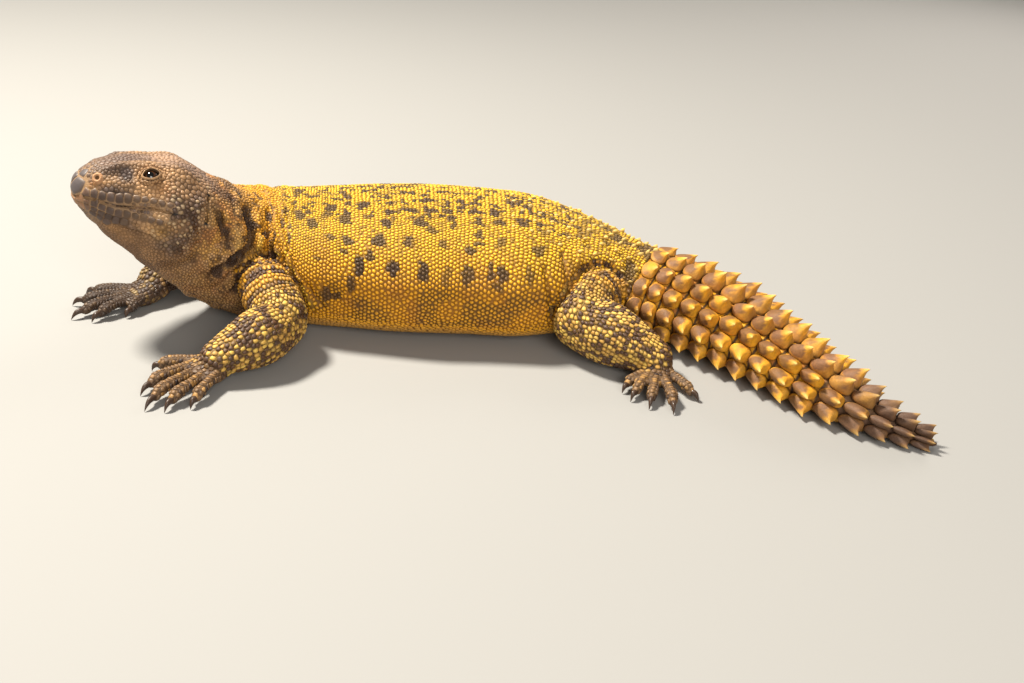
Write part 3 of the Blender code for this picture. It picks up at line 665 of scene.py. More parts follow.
def remeshed(obj, size):
    """Its mesh made anew from even cells of a size, which joins all that overlaps."""
    modifier = obj.modifiers.new("even", "REMESH")
    modifier.mode = "VOXEL"
    modifier.voxel_size = size * MM
    graph = bpy.context.evaluated_depsgraph_get()
    mesh = bpy.data.meshes.new_from_object(obj.evaluated_get(graph))
    obj.modifiers.clear()
    old = obj.data
    obj.data = mesh
    bpy.data.meshes.remove(old)
    return obj


def refine(obj, places, radius):
    """Divides the faces near the given places."""
    tree = tree_of(np.asarray(places) * MM)
    shape = bmesh.new()
    shape.from_mesh(obj.data)
    low, high = (np.min(places, 0) - radius) * MM, (np.max(places, 0) + radius) * MM
    edges = set()
    for face in shape.faces:
        middle = face.calc_center_median()
        if all(low[k] < middle[k] < high[k] for k in range(3)) and tree.find(middle)[2] < radius * MM:
            edges.update(face.edges)
    bmesh.ops.subdivide_edges(shape, edges=list(edges), cuts=1, use_grid_fill=True)
    bmesh.ops.triangulate(shape, faces=[f for f in shape.faces if len(f.verts) > 4])
    shape.to_mesh(obj.data)
    shape.free()


def lids(rim, spread, height):
    """How far the skin stands out over an eye: under the ball in the opening, with folded lids round it."""
    inner = np.sqrt(np.clip((EYE_RADIUS - 0.7) ** 2 - spread**2, 0, None))
    dome = np.sqrt(np.clip((EYE_RADIUS + 0.78) ** 2 - spread**2, 0, None))
    outer = 0.5 * (height + dome + np.sqrt((height - dome) ** 2 + 0.12))
    for place, width, lift in LID_FOLDS:
        outer += lift * np.exp(-(((rim - place) / width) ** 2))
    inside = 1 - ease(rim, 0.93, 1.02)
    return np.where(rim < 2.8, outer + inside * (inner - outer), height)


def shape_head(points, normals):
    """Works the lids, mouth line, nostrils and ear slits into the head's skin."""
    moved = points.copy()
    for eye in EYES:
        rim, distance = eye.opening(moved)
        gap = moved - eye.centre
        height = gap @ eye.out
        spread = np.linalg.norm(gap - height[:, None] * eye.out, axis=1)
        lift = np.where((distance < EYE_REACH) & (height > 0), lids(rim, spread, height) - height, 0)
        moved += lift[:, None] * eye.out
    for line, depth, width in [(m, 1.15, 0.42) for m in MOUTH_LINES] + [(e, 2.3, 0.6) for e in EAR_LINES]:
        near, share = nearness(points, line)
        fade = ease(share, 0, 0.08) * (1 - ease(share, 0.9, 1)) if width > 0.5 else 1 - ease(share, 0.93, 1)
        moved -= normals * (depth * fade * np.exp(-((near / width) ** 2)))[:, None]
    for place in NOSTRILS:
        near = np.linalg.norm(points - place, axis=1)
        ring = 0.5 * np.exp(-(((near - 1.35) / 0.5) ** 2))
        lift = ring - 2.0 * (1 - ease(near, 0.35, 0.8)) + 0.25 * (1 - ease(near, 1.9, 2.5))
        moved += normals * lift[:, None]
    return moved


def limb_roots(points, edges, found):
    """Where a limb's skin meets the trunk's."""
    kind = KIND_OF[found["part"]]
    root = (kind == UPPER_ARM) | (kind == THIGH)
    trunk = kind == TRUNK
    meet = (root[edges[:, 0]] & trunk[edges[:, 1]]) | (root[edges[:, 1]] & trunk[edges[:, 0]])
    return points[edges[meet]].mean(axis=1)


def relief(t, angle):
    """The hollows and ridges of all folds at places on the trunk."""
    return fold_height(t, angle) + fold_height(t, angle, CREASES)


BAND_PITCH = 4.6  # of the bands and ripples round the limbs' roots


def hip_lumps(points):
    """The lumps of the hips, whose hollows are painted dark as shade."""
    return noise(points, 4.6, 2.7)


def fine_folds(points, found, roots):
    """The small creases of the neck, shoulder and groin, and the wrinkles of the neck and limbs' roots."""
    kind = KIND_OF[found["part"]]
    t = station_at(found["run"])
    lift = fold_height(t, found["angle"], CREASES) + joint_weights(points) * fold_height(t, found["angle"])
    loose = ease(t, 7.2, 7.8) * (1 - ease(t, 9.8, 10.6))
    rows = np.stack([found["run"], found["angle"] * 0.22, np.zeros(len(t))], axis=-1)
    lift += loose * 1.5 * (noise(rows, 3.2) - 0.5) + 0.25 * (noise(points, 7.0, 4.4) - 0.5)
    hip = ease(t, 13.9, 14.6) * (1 - ease(t, 15.5, 15.9))
    lift += hip * 2.4 * (hip_lumps(points) - 0.5)
    share = found["run"] / TOTALS[found["part"]]
    ripple = np.sin(found["run"] * math.tau / BAND_PITCH + 5.0 * noise(points, 7.0, 9.1))
    rooted = ((kind == UPPER_ARM) | (kind == THIGH)) * (1 - ease(share, 0.55, 0.95))
    lift = np.where(kind == TRUNK, lift, 0.45 * ripple * rooted)
    return lift - 2.2 * np.exp(-((nearness(points, roots)[0] / 1.6) ** 2)) * ease(points[:, 2], 4, 8)


def make_skin(skin_map):
    """The whole skin, and where its limbs meet the trunk."""
    obj = remeshed(make_mesh("skin", *joined_lengths()), VOXEL)
    points, edges = read_points(obj.data), edges_of(obj.data)
    points = even_out(points, edges, np.full(len(points), 0.5), 2)
    points = even_out(points, edges, 0.6 * joint_weights(points), 18)
    write_points(obj.data, points)
    fine = [eye.centre + eye.out * EYE_RADIUS for eye in EYES]
    refine(obj, fine, 9.5)
    refine(obj, fine, 7.5)
    refine(obj, NOSTRILS, 3.5)
    refine(obj, NOSTRILS, 2.6)
    refine(obj, np.concatenate(MOUTH_LINES + EAR_LINES), 1.6)
    points, normals = read_points(obj.data), read_normals(obj.data)
    head = near_head(points)
    points[head] = shape_head(points[head], normals[head])
    found = skin_map.locate(points)
    roots = limb_roots(points, edges_of(obj.data), found)
    points += normals * fine_folds(points, found, roots)[:, None]
    points[:, 2] = np.maximum(points[:, 2], FLOOR_GAP)
    write_points(obj.data, points)
    smooth(obj)
    return obj, roots


class SkinMap:
    """Which length each place of the skin is on, how far along and round it, and how scales lie there."""

    def __init__(self):
        rows, spacing = [], 1.2
        for k, length in enumerate(LENGTHS):
            trunk = length.kind == "trunk"
            sides = 120 if trunk else 16 if length.kind == "toe" else 36
            stops = np.arange(0.5, length.total, spacing) if trunk else length.stops(spacing)
            turns = np.arange(sides) * 360 / sides
            run, angle = (v.ravel() for v in np.meshgrid(stops, turns, indexing="ij"))
            here = length.at(run, angle, -SKIN_DEPTH)
            behind = length.at(np.minimum(run + 0.2, length.total + 0.9 * length.ends[1]), angle)
            lie = unit(behind - length.at(run - 0.2, angle))
            turn = length.at(run, angle + 1) - length.at(run, angle - 1)
            degree = np.maximum(np.linalg.norm(turn, axis=1) / 2, 0.01)
            rows.append((here, lie, unit(turn), np.full(len(here), k), run, angle, degree))
        columns = [np.concatenate(column) for column in zip(*rows)]
        self.points, self.lie, self.around, self.part, self.run, self.angle, self.degree = columns
        self.tree = tree_of(self.points)

    def locate(self, points):
        """What the map says at points, read from the nearest place on it."""
        k = np.array([self.tree.find(p)[1] for p in points])
        gap = points - self.points[k]
        run = self.run[k] + np.einsum("ij,ij->i", gap, self.lie[k])
        turned = np.einsum("ij,ij->i", gap, self.around[k]) / self.degree[k]
        angle = self.angle[k] + np.clip(turned, -12, 12)
        return {"part": self.part[k], "run": run, "angle": angle, "lie": self.lie[k]}


KIND_NAMES = ("trunk", "upper_arm", "forearm", "thigh", "shin", "palm", "toe")
TRUNK, UPPER_ARM, FOREARM, THIGH, SHIN, PALM, TOE = range(len(KIND_NAMES))
KIND_OF = np.array([KIND_NAMES.index(length.kind) for length in LENGTHS])
TOTALS = np.array([length.total for length in LENGTHS])


class Places:
    """Places on the skin, with all that their size, shape and colour depend on."""

    def __init__(self, points, normals, skin_map):
        found = skin_map.locate(points)
        self.points, self.normals = points, normals
        self.part, self.run, self.angle = found["part"], found["run"], found["angle"]
        self.kind = KIND_OF[self.part]
        self.t = np.where(self.kind == TRUNK, station_at(self.run), -1.0)
        self.side = left_angle(self.angle)
        lie = found["lie"] - normals * np.einsum("ij,ij->i", found["lie"], normals)[:, None]
        self.lie = unit(lie)
        self.share = self.run / TOTALS[self.part]
        self.eye = np.full(len(points), FAR)
        for eye in EYES:
            rim, distance = eye.opening(points)
            self.eye = np.minimum(self.eye, np.where(distance < EYE_REACH, rim, FAR))
        head = near_head(points)
        self.mouth, self.ear, self.nostril = (np.full(len(points), FAR) for _ in range(3))
        if head.any():
            self.mouth[head] = np.minimum(*(nearness(points[head], line)[0] for line in MOUTH_LINES))
            self.ear[head] = np.minimum(*(nearness(points[head], line)[0] for line in EAR_LINES))
            self.nostril[head] = np.minimum(*(np.linalg.norm(points[head] - n, axis=1) for n in NOSTRILS))
        self.root = nearness(points, limb_creases)[0]

    def taken(self, keep):
        """The chosen ones among them."""
        made = object.__new__(Places)
        for name, value in vars(self).items():
            setattr(made, name, value[keep])
        return made


# Stations of the head and neck, and the distance between scales there.
HEAD_PITCH = (
    (0, 1.5, 3.0, 4.0, 5.5, 6.8, 7.3, 8.2, 9.4, 10.2),
    (1.7, 1.45, 1.3, 1.2, 1.25, 1.35, 1.08, 1.05, 1.2, 1.4),
)
LIMB_PITCH = {"upper_arm": 1.75, "forearm": 2.0, "thigh": 1.75, "shin": 1.95, "palm": 1.5, "toe": 1.5}
# The stations where the head's kind of scales gives way to the neck's, and the neck's to the back's.
HEAD_TO, NECK_TO = 7.3, 9.4


def scale_pitch(at):
    """The distance between scales at each place."""
    head = np.interp(at.t, *HEAD_PITCH)
    head = head * (1 + 0.18 * ease(at.side, 58, 72) * (at.t < 6.8))
    cheek = ease(at.t, 5.5, 5.9) * (1 - ease(at.t, 6.9, 7.1))
    cheek = cheek * ease(at.side, -4, 4) * (1 - ease(at.side, 50, 60))
    head = head * (1 + 0.3 * cheek)
    head = head * (1 - 0.22 * ease(-at.side, 22, 34) * (at.t < HEAD_TO))
    trunk = np.interp(at.side, (-60, -34, -20, 5, 30, 60), (2.4, 2.1, 2.1, 1.9, 1.6, 1.5))
    trunk = trunk * np.interp(at.t, (9.9, 11.2, 12.6, 13.4), (0.82, 1.0, 1.08, 1.1))
    body = np.where(at.t < 9.6, head, trunk)
    body = np.where(at.t > WHORL_FIRST, 2.1, body)
    lid = np.clip(0.62 + 0.55 * (at.eye - 1.2), 0.62, 2.5)
    body = np.minimum(body, np.where(at.eye < 5, lid, 9))
    body = np.minimum(body, np.where(at.nostril < 5, 1.0 + 0.35 * (at.nostril - 2), 9))
    limb = np.array([LIMB_PITCH.get(name, 0.0) for name in KIND_NAMES])[at.kind]
    return np.where(at.kind == TRUNK, body, limb)


LOOSENESS = 0.13  # how far scales stray from their rows, against their size


def grid_seeds(length, run_from, run_to, angles, pitch, across, ringed=False):
    """Rows of places round a length, spaced by pitch along it and by across at each angle.

    Every second row is offset by half a space, unless they are even rings.
    """
    rows = max(1, round((run_to - run_from) / (pitch * 0.87)))
    random = np.random.default_rng(rows)
    angles, across = np.asarray(angles, float), np.broadcast_to(across, len(angles))
    places = []
    for r in range(rows):
        run = run_from + (r + 0.5) * (run_to - run_from) / rows
        probe = length.at(np.full(len(angles), run), angles)
        cells = np.linalg.norm(np.diff(probe, axis=0), axis=1) * 2 / (across[1:] + across[:-1])
        arc = np.concatenate([[0], np.cumsum(cells)])
        count = max(2, round(arc[-1]))
        count = 2 * max(2, round(count / 2)) if ringed else count
        stops = (np.arange(count) + 0.5 * (r % 2) * (not ringed)) / count * arc[-1]
        loose = LOOSENESS * (0.3 if ringed else 1.0)
        stray = random.normal(0, loose, (2, count)).clip(-0.3, 0.3)
        turned = np.interp(stops + stray[0], arc, angles)
        places.append(length.at(run + stray[1] * pitch, turned, -SKIN_DEPTH))
    return np.concatenate(places)


# Where rows of scales begin and end on the trunk, and the size of their scales.
TRUNK_ROWS = ((9.55, 11.1, 0.84), (11.1, 12.4, 1.0), (12.4, WHORL_FIRST, 1.08))
ROW_SPACING = ((-50, -34, -24, 0, 20, 45, 60), (2.9, 2.9, 2.15, 2.05, 1.85, 1.6, 1.5))  # angle, and space


def row_seeds():
    """The scales that stand in rows: those of the trunk, the tail's underside, the limbs and the toes."""
    trunk = LENGTHS[0]
    round_trunk = np.linspace(-50, 230, 141)
    spacing = np.interp(left_angle(round_trunk), *ROW_SPACING)
    places = []
    for first, last, size in TRUNK_ROWS:
        places.append(grid_seeds(trunk, along(first), along(last), round_trunk, 1.85 * size, spacing * size))
    under = np.linspace(SPINE_TO + 4, SPINE_FROM + 356, 25)
    for low, high in zip(WHORLS[:-1], WHORLS[1:]):
        places.append(grid_seeds(trunk, low + 0.4, high - 0.2, under, 2.3, 2.3))
    round_limb = np.linspace(-90, 270, 49)
    for length in LENGTHS:
        if length.kind in ("trunk", "palm"):
            continue
        toe, pitch = length.kind == "toe", LIMB_PITCH[length.kind]
        end, across = (length.total + 0.3, 2.0 * pitch) if toe else (length.total, pitch)
        places.append(grid_seeds(length, 0, end, round_limb, pitch, across, toe))
    return np.concatenate(places)


# The big plates at the snout's front and chin: station, angle on either side, and size.
PLATES = ((1.25, 38, 7.2), (2.2, 66, 3.2), (1.4, 80, 2.8), (0.5, -44, 3.4))
# The rows of plates along the lips: degrees from the mouth, the stations where they start and end, and their
# size.
LIP_ROWS = ((7.0, 1.9, 6.0, 3.1), (-7.5, 1.1, 6.0, 3.1), (-17.5, 1.2, 4.6, 2.9), (-26.5, 1.3, 3.6, 2.7))


def labial_seeds():
    """The snout's big plates and those along the lips, and how wide each is."""
    front = [(t, mirror_angle(angle, side), size) for t, angle, size in PLATES for side in SIDES]
    places = [skin(np.array([t]), angle, -SKIN_DEPTH) for t, angle, _ in front]
    sizes = [np.array([size]) for *_, size in front]
    for side in SIDES:
        t, a = np.array(MOUTH, float).T
        fine = np.linspace(0.9, 6.0, 400)
        mouth = np.interp(fine, t, a)
        for off, first, last, pitch in LIP_ROWS:
            row = (fine > first) & (fine < last)
            line = skin(fine[row], mirror_angle(mouth[row] + off, side), -SKIN_DEPTH)
            run = run_of(line)
            stops = np.arange(0.5 * pitch, run[-1], pitch)
            places.append(read_line(line, run, stops))
            sizes.append(np.full(len(stops), pitch) * (1 - 0.3 * ease(stops, 14, 24)))
    return np.concatenate(places), np.concatenate(sizes)


def scatter(obj, count, random):
    """Random places, evenly spread over a mesh's faces."""
    mesh = obj.data
    mesh.calc_loop_triangles()
    corners = np.empty(len(mesh.loop_triangles) * 3, np.int32)
    mesh.loop_triangles.foreach_get("vertices", corners)
    a, b, c = read_points(mesh)[corners.reshape(-1, 3)].transpose(1, 0, 2)
    area = np.linalg.norm(np.cross(b - a, c - a), axis=1)
    chosen = random.choice(len(area), count, p=area / area.sum())
    u, v = np.sqrt(random.random(count))[:, None], random.random(count)[:, None]
    return a[chosen] * (1 - u) + b[chosen] * (u * (1 - v)) + c[chosen] * (u * v)


class Ground:
    """The finished skin, to set things on."""

    def __init__(self, obj):
        self.obj = obj
        self.tree = BVHTree.FromObject(obj, bpy.context.evaluated_depsgraph_get())
        points, normals, edges = read_points(obj.data), read_normals(obj.data), edges_of(obj.data)
        self.normals = unit(even_out(normals, edges, np.full(len(normals), 0.5), 6))
        self.verts = tree_of(points)

    def nearest(self, points):
        """The nearest places on the skin."""
        return np.array([self.tree.find_nearest(Vector(p * MM))[0] for p in points]) / MM

    def normal(self, points):
        """The skin's evened outward directions nearest to points."""
        return self.normals[[self.verts.find(p)[1] for p in points]]


def usable(at):
    """Places where a scale may stand: clear of the openings, the floor and the tail's spines."""
    on_spines = (at.kind == TRUNK) & (at.run > WHORLS[0]) & (at.run < WHORLS[-1])
    on_spines &= left_angle(at.angle) > SPINE_FROM + 3
    claw_bed = (at.kind == TOE) & (at.share > 1.06)
    return (
        (at.eye > 1.34)
        & (at.mouth > 0.75)
        & (at.ear > 0.8)
        & (at.nostril > 2.45)
        & ~on_spines
        & ~claw_bed
        & ~((at.points[:, 2] < 1.0) & (at.normals[:, 2] < -0.35))
    )
FILL_TRIES = 190000
def all_seeds(ground, skin_map):
    """Every scale's place: the rows first, then fill wherever they leave room."""
    random = np.random.default_rng(5)
    plates, plate_sizes = labial_seeds()
    rows = row_seeds()
    wanted = np.concatenate([plates, rows])
    landed = ground.nearest(wanted)
    close = np.linalg.norm(landed - wanted, axis=1) < 0.75
    close[: len(plates)] = True
    fill = scatter(ground.obj, FILL_TRIES, random)
    at = Places(landed[close], ground.normal(landed[close]), skin_map)
    at.plate = np.concatenate([plate_sizes, np.zeros(close.sum() - len(plates))])
    begins = along(9.55) + 12 * noise(at.points, 5.0, 6.0)
    at = at.taken(usable(at) & ((at.kind != TRUNK) | (at.plate > 0) | (at.run > begins)))
    ordered = at.points
    loose = Places(fill, ground.normal(fill), skin_map)
    loose = loose.taken(usable(loose) & (loose.kind != TOE))
    everything = np.concatenate([ordered, loose.points])
    pitch = np.concatenate([np.where(at.plate > 0, at.plate, scale_pitch(at)), scale_pitch(loose)])
    plate = np.concatenate([at.plate, np.zeros(len(loose.points))])
    is_row = np.arange(len(everything)) < len(ordered)
    tree = tree_of(everything)
    alive = np.ones(len(everything), bool)
    kept = []
    for k in range(len(everything)):
        if not alive[k]:
            continue
        kept.append(k)
        for _, other, distance in tree.find_range(everything[k], pitch[k] * (0.86 if not is_row[k] else 0.9)):
            if other > k and (not is_row[other] or distance < 0.55 * pitch[k]):
                alive[other] = False
    kept = np.array(kept)
    made = Places(everything[kept], ground.normal(everything[kept]), skin_map)
    made.pitch, made.plate = pitch[kept], plate[kept]
    mark_thorns(made)
    return made


def light(red, green, blue):
    """A colour as the light that it returns."""
    return np.array([(c / 255) ** 2.2 for c in (red, green, blue)])


YELLOW, GOLD, ORANGE = light(255, 203, 30), light(250, 175, 8), light(186, 116, 46)
RUST, BROWN, DARK, BLACK = light(128, 74, 4), light(92, 60, 32), light(60, 38, 18), light(28, 19, 12)
CREAM, TAN, SLATE = light(244, 224, 172), light(188, 144, 98), light(104, 86, 78)
PINK, THROAT, AMBER = light(160, 130, 112), light(164, 122, 78), light(228, 170, 78)
STRAW, BARK = light(240, 198, 92), light(88, 62, 44)


def mix(a, b, weight):
    """Colours between a, where the weight is 0, and b, where it is 1."""
    weight = np.atleast_1d(np.asarray(weight, float))[..., None]
    return a * (1 - weight) + b * weight


def spots(x, y, pitch, size, fill, seed):
    """Blotches scattered over a plane: 1 inside one, and 0 between. Pitch and size go along and round."""
    table = np.random.default_rng(seed).random((64, 64, 4))
    cell_x, cell_y = np.floor(x / pitch[0]).astype(int), np.floor(y / pitch[1]).astype(int)
    best = np.zeros(len(x))
    for i in (-1, 0, 1):
        for j in (-1, 0, 1):
            draw = table[(cell_x + i) % 64, (cell_y + j) % 64]
            away_x = (x - pitch[0] * (cell_x + i + 0.15 + 0.7 * draw[:, 0])) / size[0]
            away_y = (y - pitch[1] * (cell_y + j + 0.15 + 0.7 * draw[:, 1])) / size[1]
            inside = 1 - ease(np.hypot(away_x, away_y) / (0.6 + 0.8 * draw[:, 2]), 0.75, 1.1)
            best = np.maximum(best, np.where(draw[:, 3] < fill, inside, 0))
    return best


HEAD_PATCHES = (  # station, angle, half size in millimetres along and round, colour, strength
    (1.5, 46, 5.5, 7, SLATE, 0.9),
    (0.7, -8, 4, 4, PINK, 0.7),
    (0.9, -40, 4, 5, SLATE, 0.6),
    (2.4, 78, 6, 6, SLATE, 0.85),
    (3.1, 58, 3.5, 2.4, SLATE, 0.8),
    (3.5, 70, 3, 3, PINK, 0.5),
    (4.2, 84, 5, 5, SLATE, 0.6),
    (5.6, 84, 6, 6, PINK, 0.5),
    (6.6, 76, 7, 5, SLATE, 0.7),
    (2.8, 22, 3.5, 2.4, ORANGE, 0.55),
    (3.55, 48, 3.4, 3.4, DARK, 1.0),
    (3.3, 40, 1.8, 1.8, DARK, 0.7),
    (4.0, 24, 2.6, 2.2, BROWN, 0.9),
    (3.45, 24, 3.2, 2.0, TAN, 0.9),
    (4.35, 18, 4.5, 2.2, TAN, 0.95),
    (5.0, 15, 4.0, 2.0, TAN, 0.8),
    (5.5, 24, 3.0, 3.0, ORANGE, 0.5),
    (4.15, 67, 3.0, 1.5, TAN, 0.9),
    (4.85, 68, 6.0, 1.4, TAN, 0.85),
    (4.6, 77, 7.0, 2.0, DARK, 0.5),
    (5.7, 52, 4.5, 2.0, TAN, 0.8),
    (6.0, 42, 5.0, 2.0, DARK, 0.6),
    (6.3, 60, 5.0, 3.0, BROWN, 0.4),
    (6.8, 40, 3.0, 6.0, BROWN, 0.5),
    (5.9, 18, 2.6, 2.2, SLATE, 0.6),
    (6.3, 26, 2.6, 2.2, TAN, 0.5),
    (4.65, 1, 2.2, 1.8, TAN, 0.6),
    (5.4, 6, 4.0, 1.6, DARK, 0.85),
    (5.2, -17, 6.5, 2.2, TAN, 0.9),
    (6.0, -12, 4.0, 3.0, AMBER, 0.5),
    # A painted shade line along the chin crease.
    (4.9, -30, 5.5, 0.9, DARK, 0.85),
    (6.6, 10, 4.0, 5.0, BROWN, 0.6),
)


def head_paint(at):
    """The head and neck's colour, without the neck's dark blotches."""
    fine, coarse = noise(at.points, 2.2), noise(at.points, 6.0, 3.3)
    base = mix(mix(DARK, SLATE, ease(fine, 0.25, 0.6)), TAN, 0.8 * ease(coarse, 0.38, 0.64))
    base = mix(base, mix(TAN, PINK, 0.7), 0.5 * ease(at.side, 52, 74))
    for t, angle, long, high, colour, strength in HEAD_PATCHES:
        gap = np.hypot((at.run - along(t)) / long, (at.side - angle) * DEGREE / high)
        base = mix(base, colour, strength * np.exp(-(gap**2)) * (0.8 + 0.6 * (fine - 0.5)))
    base = mix(base, light(112, 88, 76), 0.55 * (1 - ease(at.t, 3.6, 5.0)) * ease(at.side, 36, 60))
    base = base * (1 - 0.22 * (1 - ease(at.t, 3.6, 5.2)))[:, None]
    under = ease(-at.side, 18, 40) * ease(at.t, 2.0, 4.0)
    base = mix(base, mix(THROAT, BROWN, 0.6 * ease(coarse, 0.35, 0.7)), under)
    tan_neck = mix(light(204, 138, 72), light(214, 170, 118), ease(coarse, 0.3, 0.6))
    tan_neck = mix(tan_neck, AMBER, 0.7 * ease(fine, 0.35, 0.65))
    nape = ease(at.side, 26, 50) * (1 - ease(at.t, 8.1, 8.9)) * ease(noise(at.points, 3.4, 5.5), 0.3, 0.5)
    tan_neck = mix(tan_neck, light(106, 76, 54), 0.85 * nape)
    tan_neck = mix(tan_neck, GOLD, ease(at.t, 7.5, 8.6) * ease(at.side, -20, 20))
    tan_neck = mix(tan_neck, THROAT, 0.7 * ease(-at.side, 12, 36) * (1 - ease(at.t, 8.8, 9.8)))
    return mix(base, tan_neck, ease(at.t, 6.9, 7.5))


# The dark marks of the flanks and neck, those of the neck mostly in its folds' hollows as partly painted
# shade:
# station, angle on either side, half size in millimetres along and round, and strength.
MARKS = (
    (11.3, 21, 1.9, 4.6, 1.0), (11.2, 6, 1.5, 4.0, 0.8), (11.65, 21, 2.0, 4.0, 1.0),
    (11.95, 20, 2.2, 4.4, 0.95), (12.25, 17, 1.6, 4.0, 0.4), (12.5, 18, 1.7, 5.4, 0.8),
    (12.75, 23, 1.4, 4.6, 0.8), (12.9, 21, 1.8, 4.0, 0.9), (12.85, 10, 1.6, 2.0, 0.6),
    (13.25, 25, 1.2, 4.5, 0.5), (11.5, 43, 2.4, 3.0, 0.9), (11.4, 31, 1.2, 1.6, 0.85),
    (11.15, 42, 1.8, 2.2, 0.85), (11.1, 31, 1.4, 1.5, 0.8), (11.8, 43, 2.2, 2.4, 0.85),
    (12.2, 43, 1.8, 2.4, 0.65), (12.5, 38, 2.0, 2.4, 0.85), (12.6, 54, 1.8, 1.4, 0.8),
    (12.6, 46, 1.6, 1.4, 0.8), (12.85, 49, 1.8, 2.2, 0.65), (11.6, 59, 2.3, 1.9, 0.95),
    (11.95, 61, 2.3, 1.9, 0.9), (12.3, 60, 1.3, 2.4, 0.8), (12.6, 64, 1.6, 1.5, 0.9),
    (11.1, 60, 2.4, 2.4, 0.85), (12.05, 55, 2.2, 1.5, 0.7), (12.25, 72, 1.6, 1.2, 0.9),
    (13.35, 46, 2.0, 2.6, 0.75), (11.75, 73, 3.0, 1.3, 0.7), (10.55, 56, 1.8, 2.4, 0.85),
    (10.2, 62, 1.6, 3.4, 0.85), (9.8, 35, 1.8, 3.6, 0.85), (9.9, 50, 1.4, 2.4, 0.8),
    (10.9, -6, 3.4, 1.6, 0.8), (10.7, 24, 1.6, 1.2, 0.6), (10.9, 44, 1.4, 1.6, 0.7),
    # The neck's marks from here on lie mostly in the hollows of its folds: partly dark markings, partly
    # painted shade.
    (7.45, 15, 1.3, 3.6, 0.95), (7.65, 7, 1.2, 2.8, 0.9), (8.0, 8, 1.2, 2.2, 0.8),
    (7.2, -22, 2.4, 2.4, 0.8), (8.05, -10, 2.0, 4.2, 0.95), (7.85, -26, 1.8, 3.4, 0.9),
    (8.1, 28, 1.6, 3.6, 0.9), (8.0, 40, 1.4, 3.2, 0.8), (7.5, 52, 1.2, 3.6, 0.8),
    (7.8, 64, 2.0, 2.4, 0.8), (8.5, 20, 1.4, 3.0, 0.9), (8.65, 45, 1.4, 3.8, 0.9),
    (8.9, 60, 1.4, 3.2, 0.9), (9.1, 30, 1.3, 3.8, 0.9), (9.3, 12, 1.4, 3.2, 0.9),
    (8.75, 2, 1.4, 3.0, 0.9), (9.35, 48, 1.2, 3.0, 0.85), (9.6, 64, 1.6, 2.6, 0.8),
    (8.4, 72, 1.6, 2.6, 0.8), (8.45, -32, 1.6, 3.2, 0.8),
)

BACK_DEGREE = 0.64  # of the way round the trunk, in millimetres


def trunk_blotches(at):
    """How dark the blotches of the neck, back and flanks are, with painted shade in the hips' hollows, and
    the gaps between the low scales.
    """
    warp = 3.4 * (np.stack([noise(at.points, 3.0, s) for s in (1.7, 8.1)], -1) - 0.5)
    x, y = at.run + warp[:, 0], at.angle * BACK_DEGREE + warp[:, 1]
    small = spots(x, y, (4.8, 4.4), (1.35, 1.2), 0.85, 21)
    back = np.maximum(small, spots(x, y, (7.0, 6.5), (2.2, 1.5), 0.75, 57))
    upper = ease(at.side, 54, 68)
    marks = 0.35 * spots(x, y, (8.0, 8.0), (1.2, 1.4), 0.6, 77) * (1 - ease(-at.side, -16, 0))
    for t, angle, long, high, strength in MARKS:
        away = (at.side - angle) * BACK_DEGREE + warp[:, 1]
        gap = np.hypot((x - along(t)) / long, away / high)
        marks = np.maximum(marks, strength**0.5 * (1 - ease(gap, 1.15, 1.4)))
    dark = np.maximum(back * upper, marks)
    neck = np.maximum(marks, 0.8 * spots(x, y, (4.2, 5.0), (1.0, 1.3), 0.6, 33))
    # Over the hips the hollows between the lumps are painted dark as shade.
    hip = np.maximum(0.6 * dark, 0.9 * (1 - ease(hip_lumps(at.points), 0.34, 0.46)))
    dark = mix(dark[:, None], hip[:, None], ease(at.t, 13.7, 14.3))[:, 0]
    dark = mix(neck[:, None], dark[:, None], ease(at.t, 9.0, 9.8))[:, 0]
    trunk = ease(at.t, 7.1, 7.8) * (at.kind == TRUNK)
    low = ease(-at.side, -14, 2) * (1 - ease(-at.side, 24, 34)) * ease(noise(at.points, 9.0, 3.9), 0.42, 0.6)
    return dark * trunk, low * trunk * ease(at.t, 10.3, 10.9)


SHADED_FOREFOOT_X = -116  # ahead of this lies the right forefoot, which is painted darker as the shade it stands in
PALE_SHARE = np.array((0.5, 0.75, 0.58, 0.72, 0.66, 0.42, 0.5))  # of the scales, by kind of length


